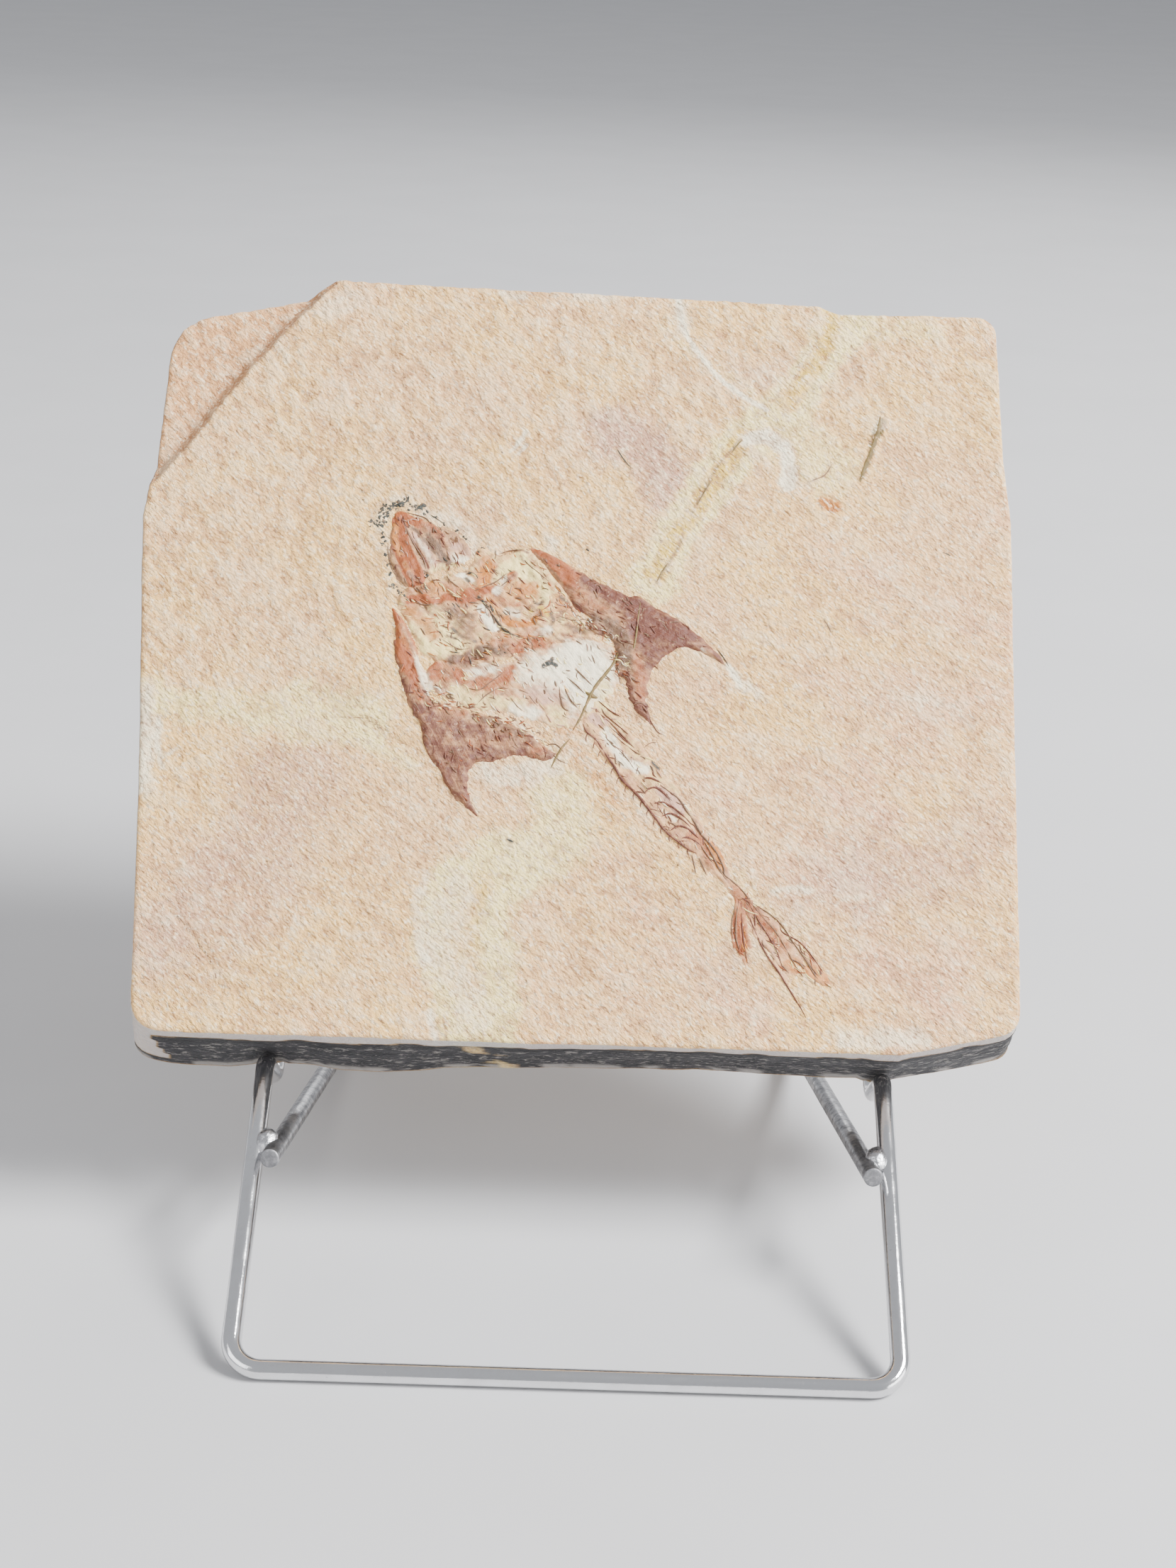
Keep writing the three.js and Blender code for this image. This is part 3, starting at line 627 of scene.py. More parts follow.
# Stains of the bone, in the same form, for every plate they run over.
FISH_STAINS = [
    # skull roof and jaw
    ("cream", 0.55, 3, 2, [(-27.5, 73), (-24, 71.5), (-26.5, 69.5)]),
    ("umber", 0.3, 1.6, 1.6, [(-29, 76.5), (-25, 75.5), (-20, 73)]),
    ("cream", 0.7, 2, 1.4, [(-13.5, 82.6), (-11.4, 83.4), (-9, 82), (-7.8, 79.4)]),
    ("cream", 0.55, 1.3, 1, [(-12, 86), (-10.6, 85)]),
    ("clay", 0.45, 1.6, 1.4, [(-31.5, 78.2), (-27, 79.4), (-22.5, 79)]),
    ("ochre", 0.5, 0.9, 0.8, [(-28, 81.2), (-27, 79.8), (-27.4, 78)]),
    ("clay", 0.75, 0.5, 0.6, [(-31.8, 77.4), (-29.6, 77.9), (-27.6, 77.2), (-25.4, 78.2),
                              (-23.4, 77.6), (-21.6, 78.8), (-19.8, 79.8)]),
    ("ochre", 0.5, 0.8, 0.9, [(-18.4, 85.4), (-17.6, 83.8)]),
    ("ochre", 0.9, 1.1, 0.9, [(-18.2, 83.4), (-18.8, 81.6), (-18.2, 79.8)]),
    ("clay", 0.8, 0.6, 0.6, [(-18.2, 79.6), (-16.4, 80.1), (-14.8, 81.2), (-13.4, 82.5)]),
    ("rust", 0.6, 0.25, 0.3, [(-15.6, 80.9), (-14.4, 81.9), (-13.2, 82.7)]),
    ("clay", 0.75, 0.8, 0.7, [(-18.6, 79.4), (-20.6, 78), (-22.4, 76.5)]),
    ("rust", 0.5, 0.3, 0.4, [(-21.4, 76.8), (-22.4, 76.1)]),
    ("pale", 0.6, 0.5, 0.5, [(-22.2, 82), (-21, 81.4)]),
    ("ochre", 0.45, 1.4, 1.2, [(-12.4, 80.4), (-10.6, 80.2), (-10, 78.6)]),
    ("clay", 0.5, 0.6, 0.6, [(-15.8, 78.6), (-14.2, 77.6), (-12.6, 77.4)]),
    ("pale", 0.85, 0.8, 0.5, [(-19, 76), (-17.8, 74.4), (-16.6, 72.8)]),
    ("pale", 0.6, 0.6, 0.6, [(-16.4, 79.6), (-15.4, 80.8), (-15, 82)]),
    ("pale", 0.55, 0.6, 0.6, [(-14.4, 76.4), (-12.6, 75.6)]),
    ("ochre", 0.95, 0.6, 0.5, [(-14.8, 74.6), (-13.6, 73.8), (-12, 73.5), (-10.4, 73.8),
                               (-9.2, 74.8), (-8.2, 76)]),
    ("straw", 0.8, 0.4, 0.5, [(-10.2, 76.4), (-8.6, 76.8), (-7.2, 75.6)]),
    ("umber", 0.5, 0.4, 0.5, [(-10.8, 77), (-9.4, 76.6), (-8.6, 75.4)]),
    ("ink", 0.85, 0.16, 0.25, SKULL_CRACK),
    ("ink", 0.6, 0.35, 0.35, [(-23.8, 72.6), (-22.6, 71.4), (-20.8, 70.6), (-19.8, 70.2)]),
    ("ink", 0.5, 0.25, 0.3, [(-24.6, 71), (-23.2, 70.6)]),
    ("ink", 0.45, 0.25, 0.35, [(-28.6, 75.6), (-27.4, 74.6)]),
    ("ink", 0.45, 0.2, 0.35, [(-25.4, 74.8), (-23.8, 74.2)]),
    ("ink", 0.6, 0.3, 0.35, [(-9.8, 77.9), (-8.8, 77.5), (-8.2, 77.9)]),
    ("ink", 0.7, 0.35, 0.35, [(-4.9, 79), (-3.7, 77.7), (-4.6, 76.4)]),
    ("ink", 0.6, 0.3, 0.35, [(-6.6, 75.8), (-6.2, 74.6), (-6.6, 73.6)]),
    ("ink", 0.6, 0.22, 0.35, [(-6.4, 72), (-5.2, 71), (-3.4, 70.2)]),
    ("ink", 0.6, 0.2, 0.3, [(-23.8, 83.4), (-22.4, 83.6), (-21.4, 82.9)]),
    ("ink", 0.6, 0.3, 0.35, [(-22.2, 82), (-21.4, 81.2)]),
    ("pale", 0.7, 0.5, 0.4, [(-23.4, 82.6), (-22.4, 82.5)]),
    ("umber", 0.6, 0.22, 0.3, [(-16.2, 86.6), (-14.6, 87.2), (-12.8, 87.5), (-11.2, 87.2)]),
    ("umber", 0.5, 0.2, 0.3, [(-12.4, 86.4), (-11.4, 85.2), (-10, 84.6)]),
    ("umber", 0.75, 1.1, 1, [(-4.4, 75.4), (-2.4, 73.8), (0.6, 73.2), (3.4, 72)]),
    ("rust", 0.55, 0.7, 0.8, [(-2, 76), (0.4, 74.2), (2.6, 72.8)]),
    ("rust", 0.45, 0.35, 0.5, [(-4.6, 71.9), (-2, 71.2), (1.4, 71.3)]),
    ("cream", 0.75, 0.5, 0.5, [(-4.4, 74.4), (-3, 74.9), (-1.4, 74)]),
    ("olive", 0.45, 0.5, 0.6, [(-1.4, 73.4), (0.2, 72.4)]),
    ("pale", 0.5, 0.8, 0.8, [(-9, 71.8), (-6.8, 72.6)]),
    ("clay", 0.4, 1, 1, [(-12, 71), (-9.6, 72.2), (-8.6, 70.6)]),
    ("ochre", 0.5, 1.2, 1.2, [(-31, 75), (-28.6, 73), (-27, 71)]),
    ("umber", 0.35, 1.2, 1.2, [(-24, 76), (-21.6, 74), (-21, 71.6)]),
    ("ochre", 0.35, 0.8, 0.9, [(-15, 80.6), (-12.6, 79), (-9.6, 81)]),
    ("clay", 0.35, 0.5, 0.5, [(-10.6, 86.4), (-8.6, 83.6), (-6.4, 80.6)]),
    ("ochre", 0.45, 0.9, 0.9, [(-16.8, 78.4), (-16.2, 76.2)]),
    ("ochre", 0.4, 1.2, 1.2, [(-6, 78.6), (-4.6, 76.8), (-3, 75)]),
    ("clay", 0.4, 0.9, 0.9, [(-15.4, 71), (-12.6, 69.6), (-8, 70.4)]),
    # bar below the jaw and the mottled bone beside it
    ("umber", 0.95, 1.1, 0.9, [(-23.4, 66), (-20.4, 67.2), (-18.2, 68.4), (-15, 68.6)]),
    ("rust", 0.5, 0.7, 0.7, [(-22.4, 66.2), (-20, 67.2), (-18, 67)]),
    ("clay", 0.5, 0.8, 0.8, [(-16.6, 69.6), (-14, 68.6), (-12, 68.4)]),
    ("clay", 0.7, 2.1, 1.2, [(-28, 64.8), (-25, 64), (-22.6, 63.4)]),
    ("rust", 0.4, 0.6, 0.7, [(-24.6, 64.8), (-23.4, 63.2), (-22.8, 61.8)]),
    ("pale", 0.5, 0.9, 0.8, [(-19.4, 64.6), (-17.6, 65), (-16.2, 64.4)]),
    ("clay", 0.6, 0.8, 0.8, [(-19, 62.8), (-16.4, 63.4), (-13.4, 65)]),
    ("rust", 0.5, 0.3, 0.4, [(-20.4, 66), (-18.6, 65.2), (-16.4, 63.8)]),
    ("ink", 0.4, 0.3, 0.4, [(-19.2, 65.9), (-17.8, 65.6), (-16.4, 66.2)]),
    ("clay", 0.5, 0.9, 0.9, [(-19.4, 60.6), (-16.8, 61.2), (-14.2, 62.8)]),
    ("umber", 0.6, 0.25, 0.3, [(-18.4, 57.6), (-16.4, 59), (-14.6, 60.6)]),
    ("ink", 0.7, 0.3, 0.3, [(-26.4, 61.6), (-25.6, 61)]),
    ("pale", 0.5, 0.7, 0.7, [(-29.4, 66.4), (-28.6, 63.6), (-27.4, 60.8)]),
    # belly
    ("umber", 0.4, 1.4, 1.4, [(-25, 61.4), (-20, 59.4), (-15, 58.4)]),
    ("cream", 0.55, 1.4, 1.4, [(-22.6, 60.4), (-18.6, 59), (-12, 58)]),
    ("clay", 0.4, 1.2, 1.2, [(-13, 64), (-10.6, 62), (-9.6, 59.6)]),
    ("pale", 0.8, 2.8, 1.6, [(-3, 67.8), (0, 67.4), (1.6, 66)]),
    ("pale", 0.55, 2.6, 2, [(-9, 64.6), (-6, 63.6), (-3, 61)]),
    ("lilac", 0.6, 2, 1.8, [(-8.6, 61), (-6, 59.6)]),
    ("cream", 0.6, 1.6, 1.6, [(2.6, 62.6), (4.6, 60)]),
    ("clay", 0.3, 1, 1.2, [(-12.6, 67), (-9.4, 69.6), (-5, 70)]),
    ("rust", 0.35, 0.3, 0.5, [(-11.6, 67.6), (-9.6, 66.4), (-10.6, 64.8)]),
    ("ink", 0.9, 0.35, 0.3, [(-7.6, 66), (-6.6, 66.6), (-5.6, 66.3)]),
    ("ink", 0.85, 0.25, 0.25, [(-6.7, 66.4), (-6.1, 67.5)]),
    ("cream", 0.5, 1.6, 1.6, [(-5.6, 57), (-4, 53.4)]),
    ("pale", 0.5, 1, 1, [(-12.6, 57.6), (-9.6, 56.8)]),
    # trunk
    ("cream", 0.35, 3, 3, [(2, 59), (8, 51), (16, 41)]),
    ("clay", 0.2, 2, 2, [(3, 52), (10, 44), (17, 36), (22, 32)]),
    ("pale", 0.75, 0.8, 0.9, [(3.6, 54), (5.8, 50.6), (8.2, 48.6), (10.4, 47.8)]),
    ("lilac", 0.7, 0.7, 0.7, [(1.2, 56.6), (3.2, 56)]),
    ("lilac", 0.85, 0.8, 0.7, [(13.4, 43.8), (15, 42.4), (16.4, 40.6)]),
    ("pale", 0.5, 0.5, 0.5, [(14.2, 39.8), (15.6, 38.8)]),
    ("ink", 0.75, 0.5, 0.5, [(12.2, 49), (13.2, 48.2)]),
    ("ink", 0.6, 0.3, 0.3, [(7.4, 42.2), (8.4, 41.4), (8.6, 40.8)]),
    ("clay", 0.5, 0.9, 0.8, [(19, 35.6), (21, 34), (22.6, 31.6)]),
    ("ochre", 0.75, 0.8, 0.8, [(22.2, 34.4), (23.4, 32.4), (24, 30.8)]),
    # tail
    ("clay", 0.5, 1, 0.9, [(26, 27.4), (28.4, 24), (30.6, 21)]),
]


def stained(points, *layers):
    """Pigment fields from 0 to 1 at points of the face.

    Each stroke covers what lies under it by strength times a smooth fall-off of the distance to
    its path. The points are first moved by noise as wide as the stroke is soft, so that edges
    wander as stains do.
    """
    names = FossilPigmentSettings.__annotations__
    fields = {name: np.zeros(len(points)) for name in names}
    drift = [np.column_stack([noise(pad(points), size, 2, seed + k) for k in range(2)])
             for size, seed in ((1.3, 21), (7, 31))]
    for pigment, strength, half_width, softness, path in (s for layer in layers for s in layer):
        line = spline(path, 4)
        reach = half_width + 2.2 * softness + 2
        near = np.all((points > line.min(0) - reach) & (points < line.max(0) + reach), axis=1)
        moved = points[near] + min(softness, 3) * 0.45 * drift[0][near]
        moved += min(softness, 3) * 0.6 * drift[1][near]
        away = line_distance(moved, line)
        cover = strength * ramp(-away, -half_width - softness, -half_width + softness * 0.6)
        for field in fields.values():
            field[near] *= 1 - cover
        fields[pigment][near] += cover
    return fields


# ---- Materials of the stone and bone ----

BROKEN_EDGE_AND_SHADOW = paint(172, 124, 88)  # the flake's broken edge, with a painted shadow band beside it on the lower bed
LIGHT_GRAIN, DARK_GRAIN = paint(255, 238, 204), paint(150, 100, 68)
# Painted shade in the dents and painted highlight on their crests, standing in for the light on the
# face's relief
DENT_SHADE, DENT_HIGHLIGHT = paint(160, 112, 76), paint(250, 226, 186)
SPECK = paint(92, 66, 50)
# Bedding layers in the dark sides, darkened with their painted shade, and a painted shadow line under
# the pale edge
SIDE_LAYER, SIDE_SHADOW_LINE = paint(50, 48, 51), paint(26, 25, 27)
BONE, BONE_MOTTLE = paint(234, 180, 122), paint(186, 134, 94)
FIBRE_LIGHT, FIBRE_DARK = paint(226, 160, 110), paint(70, 36, 28)
BONE_FLAKE = paint(226, 184, 142)


def pigmented(nodes, bed, base, pigments, size, full=0.92, stretch=(1, 1, 1)):
    """The base colour under each pigment, whose edges are broken up by grain.

    full is the strength from which a pigment covers the base entirely.
    """
    colour = base
    for number, pigment in enumerate(FossilPigmentSettings.__annotations__):
        offset = nodes.turned(bed, -40 + 7 * number, stretch)
        grain = nodes.noise(offset, size, 4, 0.62)
        uneven = nodes.times(nodes.math("SUBTRACT", grain, 0.5), 0.85)
        field = nodes.plus(nodes.field(pigment), uneven)
        gate = nodes.span(nodes.field(pigment), 0.0, 0.12)
        factor = nodes.times(nodes.span(field, 0.08, full), gate)
        colour = nodes.mix(factor, colour, getattr(pigments, pigment))
    return colour


def limestone_material(stone, pigments):
    """Matt, fine-grained stone: mottled face, stains, browner lower bed, dark trimmed sides; painted
    shade and highlight on the dents, painted shadow by the flake, sides dark with painted shade.
    """
    nodes = Nodes("limestone")
    bed = nodes.field("bed", "Vector")
    grain = nodes.turned(bed, 42, (0.55, 1, 1))
    warm = nodes.span(nodes.noise(bed, 26, 4, 0.6), 0.38, 0.62)
    pink = nodes.span(nodes.noise(nodes.turned(bed, 15, (0.7, 1, 1)), 17, 5, 0.65), 0.42, 0.68)
    colour = nodes.mix(warm, stone.face, stone.face_warm)
    colour = nodes.mix(nodes.times(pink, nodes.field("blush")), colour, stone.face_pink)
    colour = nodes.mix(nodes.field("low_bed"), colour, stone.low_bed)
    # The flake's browner broken edge, and painted shade beside it on the lower bed
    colour = nodes.mix(nodes.field("broken"), colour, BROKEN_EDGE_AND_SHADOW)
    colour = pigmented(nodes, bed, colour, pigments, 1.7)
    light = nodes.span(nodes.noise(grain, 0.55, 2, 0.6), 0.5, 0.7, 0, 0.7)
    colour = nodes.mix(light, colour, LIGHT_GRAIN)
    dark = nodes.span(nodes.noise(grain, 0.62, 3, 0.65), 0.3, 0.52, 0.7, 0)
    colour = nodes.mix(dark, colour, DARK_GRAIN)
    # Painted shade in the dents and painted highlight on their crests
    colour = nodes.mix(nodes.span(nodes.field("hollow_shade"), 0.1, 1, 0, 0.32), colour, DENT_SHADE)
    colour = nodes.mix(nodes.span(nodes.field("ridge_highlight"), 0.1, 1, 0, 0.28), colour, DENT_HIGHLIGHT)
    speck = nodes.span(nodes.noise(bed, 0.8, 2, 0.5), 0.7, 0.76, 0, 0.7)
    colour = nodes.mix(speck, colour, SPECK)
    layers = nodes.noise(nodes.turned(bed, 0, (0.35, 0.35, 1.0)), 1.6, 5, 0.7)
    chips = nodes.span(nodes.noise(nodes.turned(bed, 0, (0.6, 0.6, 1.2)), 1.1, 5, 0.7), 0.53, 0.64)
    # The trimmed sides: near-black painted shade over the stone's grey, with faint bedding layers and
    # real chips
    trimmed = nodes.mix(nodes.span(layers, 0.42, 0.62), stone.side, SIDE_LAYER)
    chips = nodes.math("MAXIMUM", nodes.times(chips, 0.7), nodes.field("chipped"))
    trimmed = nodes.mix(chips, trimmed, stone.side_chip)
    # Painted shadow line along the top of the dark sides, under the pale edge
    trimmed = nodes.mix(nodes.field("side_shadow_line"), trimmed, SIDE_SHADOW_LINE)
    colour = nodes.mix(nodes.field("side"), colour, trimmed)
    uneven = nodes.times(nodes.math("SUBTRACT", layers, 0.5), 0.8)
    edge = nodes.plus(nodes.field("arris"), uneven)
    # The pale band along the face's edge: a bruised edge, partly painted light on the sides
    colour = nodes.mix(nodes.times(nodes.span(edge, 0.3, 0.7), 0.75), colour, stone.arris)
    bump = nodes.bump(nodes.noise(grain, 0.4, 3, 0.65), 0.22, 0.8)
    bump = nodes.bump(nodes.noise(grain, 0.8, 3, 0.55), 0.7, 1.0, bump)
    rough = nodes.span(nodes.noise(bed, 9, 3), 0.3, 0.7, 0.62, 0.82)
    return nodes.finish(Base_Color=colour, Roughness=rough, Normal=bump)


# ---- Slab ----

FACE_COLUMNS, FACE_ROWS = 288, 264  # parts across and up the fossil face
SIDE_RINGS = 26
BACK_ROUNDING = 1.6  # how far in front of the back its worn edge starts
PALE_BAND = 4.2  # depth of the pale band along the top of the trimmed sides: a bruised edge, partly painted light
PALE_CORNER = 14  # how much deeper that band reaches on the left side, painted light where that side is lit
CORNER_TURN = (71.4, 72.8)  # how far left of the middle it starts to deepen, and is at its deepest
VEIN_FOOT = -19.5  # where a pale vein runs down the bottom side
CHIPPED_FROM = (18, 20.5)  # depths between which bright chips set in near the back
SEAT_FLAT = (2.1, 2.9)  # how near a seat's middle the underside is flat, and from where it is free
REST_FLAT = (3.5, 7)  # the same for the back and the back rests
BACK_RINGS = ((1.0, 0.35), (1.4, 0.9))  # the back's worn edge: how far backwards, how far inwards
BACK_INSET = 1.7  # from the sides to where the flat of the back starts
# How far the rough underside bulges down at its back edge: across, amount.
UNDERSIDE = np.array([[-80, 0.2], [-70, 1.1], [-60, 1.3], [-56, 0.6], [-49, 0.3], [-46, 0.6],
                      [-40, 1.3], [-34, 1.4], [-22, 0.3], [0, -0.4],
                      [22, -0.7], [38, -0.3], [50, -0.2], [62, 0], [80, 0]])


def slab_sides(flare_share):
    """The slab's four sides as lines between the middles of its rounded main corners.

    A rounded corner is a quadratic curve from `rounding` mm before the corner to the same
    distance after it.
    """
    corners = SLAB_CORNERS[:, :2] + np.outer(SLAB_CORNERS[:, 3] * flare_share, (1, 0))
    t = np.linspace(0, 1, 9)[:, None]
    points, middles = [], {}
    for number, corner in enumerate(corners):
        rounding = SLAB_CORNERS[number, 2]
        if rounding == 0:
            points.append(corner[None])
            continue
        before = corners[number - 1] - corner
        after = corners[(number + 1) % len(corners)] - corner
        start = corner + before * rounding / np.linalg.norm(before)
        end = corner + after * rounding / np.linalg.norm(after)
        middles[number] = sum(len(p) for p in points) + len(t) // 2
        points.append((1 - t) ** 2 * start + 2 * t * (1 - t) * corner + t**2 * end)
    points = np.concatenate(points)
    marks = [middles[number] for number in MAIN_CORNERS]
    loop = np.vstack((points, points))
    return [loop[a:b + 1] for a, b in zip(marks, marks[1:] + [marks[0] + len(points)])]


def slab_outline(columns, rows, flare_share, inset):
    """The slab's edge at a share of its thickness, moved inwards, as one ring of points."""
    parts = (columns, rows, columns, rows)
    ring = np.vstack([
        resampled(side, count)[:-1] for side, count in zip(slab_sides(flare_share), parts)])
    along = np.roll(ring, -1, 0) - np.roll(ring, 1, 0)
    along /= np.linalg.norm(along, axis=1)[:, None]
    outward = np.column_stack((along[:, 1], -along[:, 0]))
    wander = 0.14 * noise(pad(ring), 9, 3, 71)
    inwards = np.broadcast_to(inset, len(ring)) - wander + 0.14
    return ring - outward * inwards[:, None], outward


def filled(ring, columns, rows):
    """A grid inside a ring: the Coons patch, whose lines blend from each side to the one opposite."""
    low, right = ring[:columns + 1], ring[columns:columns + rows + 1]
    high = ring[columns + rows:2 * columns + rows + 1][::-1]
    left = np.vstack((ring[2 * columns + rows:], ring[:1]))[::-1]
    s = np.linspace(0, 1, columns + 1)[None, :, None]
    t = np.linspace(0, 1, rows + 1)[:, None, None]
    between = (1 - t) * low[None] + t * high[None] + (1 - s) * left[:, None] + s * right[:, None]
    corners = (1 - s) * ((1 - t) * low[0] + t * high[0]) + s * ((1 - t) * low[-1] + t * high[-1])
    return (between - corners).reshape(-1, 2)


def over_wire(across, flat, free):
    """1 within `flat` mm of the middle of a seat or back rest, and 0 from `free` mm on."""
    return ramp(-np.abs(np.abs(across) - STAND_WIDTH / 2), -free, -flat)


def on_underside(up):
    """1 at the slab's bottom side and 0 higher up."""
    return ramp(-up, -4, -1)


def side_ring(columns, rows, depth, stone):
    """One ring of the trimmed sides: bedded, chipped stone that only ever falls inside the edge."""
    ring, outward = slab_outline(columns, rows, depth / SLAB_THICKNESS, 0.0)
    at = np.column_stack((ring, np.full(len(ring), -depth)))
    beds = noise(at * np.array([0.16, 0.16, 1]), 1.5, 2, 41)
    lumps = noise(at, 5.5, 4, 42)
    fallen = 0.5 + 0.3 * beds + 0.5 * lumps
    below_face = ramp(np.array(depth), 0.5, 3.0)
    under = on_underside(ring[:, 1])
    on_seat = over_wire(ring[:, 0], *SEAT_FLAT) * under
    bulge = np.interp(ring[:, 0], *UNDERSIDE.T) * ramp(np.array(depth), 0, 20) * under
    amount = stone.side_relief / MM * below_face * np.clip(fallen, 0, 1.2) * (1 - 0.6 * under)
    return ring - outward * ((amount - bulge) * (1 - on_seat))[:, None]


def build_slab(stone, pigments):
    """The whole stone as one closed surface.

    A fine grid for the fossil face is joined to a rounded arris, rings down the trimmed sides and
    a coarser grid for the back. The number of points round the ring is halved twice on the way.
    """
    columns, rows = FACE_COLUMNS, FACE_ROWS
    rim, _ = slab_outline(columns, rows, 0, ARRIS)
    face = filled(rim, columns, rows)
    layers = [np.column_stack((face, face_height(face, stone)))]
    below = [np.zeros(len(face))]
    faces = [grid_faces(columns + 1, rows + 1)]
    ring = grid_border(columns + 1, rows + 1)
    border_height = layers[0][ring, 2]

    def carry_on(edge, height, depth, between=ring_faces):
        """Add one ring of points, and the faces from the last ring to it."""
        nonlocal ring
        last, ring = ring, sum(len(layer) for layer in layers) + np.arange(len(edge))
        layers.append(np.column_stack((edge, np.broadcast_to(height, len(edge)))))
        below.append(np.broadcast_to(depth, len(edge)))
        faces.append(between(last, ring))

    for angle in (25, 50, 75):
        sink = ARRIS * (1 - math.cos(math.radians(angle)))
        inset = ARRIS * (1 - math.sin(math.radians(angle)))
        edge, _ = slab_outline(columns, rows, 0, inset)
        carry_on(edge, border_height - sink, sink)
    top = border_height[::2] - ARRIS
    back = BACK_ROUNDING - SLAB_THICKNESS
    for number in range(SIDE_RINGS):
        level = top + (back - top) * number / (SIDE_RINGS - 1)
        edge = side_ring(columns // 2, rows // 2, -level.mean(), stone)
        carry_on(edge, level, border_height[::2] - level,
                 halving_faces if number == 0 else ring_faces)
    edge = side_ring(columns // 2, rows // 2, -back, stone)[::2]
    inwards = (edge.mean(0) - edge) / np.linalg.norm(edge.mean(0) - edge, axis=1)[:, None]
    for number, (sink, inset) in enumerate(BACK_RINGS):
        carry_on(edge + inwards * inset, back - sink, SLAB_THICKNESS,
                 halving_faces if number == 0 else ring_faces)
    columns, rows = columns // 4, rows // 4
    behind = filled(edge + inwards * BACK_INSET, columns, rows)
    on_rest = over_wire(behind[:, 0], *REST_FLAT)
    split = stone.back_relief / MM * (0.5 + 0.5 * noise(pad(behind), 24, 5, 51)) * (1 - on_rest)
    start = sum(len(layer) for layer in layers)
    layers.append(np.column_stack((behind, split - SLAB_THICKNESS)))
    below.append(np.full(len(behind), SLAB_THICKNESS))
    faces.append(start + grid_faces(columns + 1, rows + 1)[:, ::-1])
    faces.append(ring_faces(ring, start + grid_border(columns + 1, rows + 1)))
    bed = np.vstack(layers)
    fields = slab_fields(bed, np.concatenate(below))
    material = limestone_material(stone, pigments)
    make_piece("limestone_slab", placed(bed), faces, material, [SLAB_NODE], fields)


def slab_fields(bed, below):
    """What the stone's colour depends on at each point: place, stains, beds, relief for painted shade
    and highlight, and painted shade on the sides.

    below is the depth under the face's edge, 0 on the face itself.
    """
    flat = bed[:, :2]
    fields = stained(flat, STONE_STAINS)
    # The pale band is partly painted light, and reaches deepest on the left side, where the side is lit
    bright = PALE_BAND + PALE_CORNER * ramp(0.2 * (below - 4) - flat[:, 0], *CORNER_TURN)
    wander = below - bright + 1.6 * noise(bed, 9, 3, 72)
    on_side = ramp(wander, -0.2, 0.3)
    behind = ramp(-bed[:, 2], SLAB_THICKNESS - 2.4, SLAB_THICKNESS - BACK_ROUNDING)
    off_vein = np.abs(flat[:, 0] - VEIN_FOOT - 0.4 * below)
    vein = ramp(1.3 + 3 * noise(bed, 3, 3, 73) - off_vein, 0, 1.2) * ramp(-flat[:, 1], -9, -5)
    for name, field in fields.items():
        field *= 1 - (0.45 if name in ("cream", "pale") else 0.9) * on_side
    marks = tool_marks(flat)
    past = flake_depth(flat)
    near_face = ramp(-below, -9, -5)
    chipped = ramp(noise(bed, 3.4, 3, 74), 0.0, 0.2) * ramp(below, *CHIPPED_FROM)
    fields["bed"] = bed
    # The sides' near-black is mostly painted shade
    fields["side"] = on_side * (1 - 0.5 * behind) * (1 - 0.7 * vein)
    reach = below - 15 * on_underside(flat[:, 1])
    # The pale band, partly painted light
    fields["arris"] = ramp(below, 0.25, 0.6) * ramp(-wander, -0.3, 0.2) * ramp(-reach, -8.5, -4.5)
    # A painted shadow line just under the pale band
    fields["side_shadow_line"] = 0.85 * ramp(wander, -0.2, 0.3) * ramp(-wander, -3.5, -1.4) * (1 - vein)
    fields["chipped"] = chipped * (1 - behind)
    fields["low_bed"] = 0.85 * ramp(past, 0.0, 1.2) * near_face
    # The flake's broken edge and a painted shadow band next to it on the lower bed
    fields["broken"] = 0.65 * ramp(past, -0.1, 0.5) * ramp(-past, -5, -2) * near_face
    fields["blush"] = ramp(flat[:, 0] - 0.8 * flat[:, 1], -70, 10) * 0.9 + 0.1
    # Where the dents sink and rise, for the painted shade and painted highlight
    fields["hollow_shade"] = np.clip(-marks * 1.6, 0, 1) * (1 - on_side)
    fields["ridge_highlight"] = np.clip(marks * 1.6, 0, 1) * (1 - on_side)
    return fields


# ---- Bone plates: low shells that rise out of the face (bed frame, mm) ----

PLATE_GRID = 0.21  # spacing of a plate's points
PLATE_MARGIN = 0.85  # how far a plate runs on under the stone past its outline
PLATE_ROOT = 1.1  # how deep its underside lies
PLATE_DENTS = 0.6  # how much of the stone's dents show through it
WHOLE_PLATE = (99, 1)  # half width and softness of a stroke that covers any plate

SNOUT = [(-33.8, 94.5), (-35.2, 93.4), (-35.8, 89.8), (-35.7, 86.3), (-35, 83.6), (-33.6, 81.2),
         (-31.4, 79.6), (-29.8, 79.8), (-28.6, 82.2), (-25.8, 83.6), (-22.8, 84.4), (-20.9, 86.4),
         (-21.4, 88.4), (-24.2, 90.6), (-27, 92), (-30, 93.2)]
SKULL = [(-31.6, 80.4), (-33, 78.6), (-33.4, 76.4), (-32, 73), (-30.2, 69.8), (-28, 67.2),
         (-25, 65.8), (-20, 65.8), (-15, 66.4), (-11, 68.6), (-6, 69.8), (-1, 70.6), (1, 72.4),
         (-1.6, 75.4), (-3.4, 78.4), (-5.6, 82), (-8, 85), (-10.6, 87.8), (-13, 88), (-15.6, 86.8),
         (-17.6, 87.4), (-19.6, 88), (-20.6, 86.4), (-21.6, 84), (-25, 82.4), (-28, 81.4)]
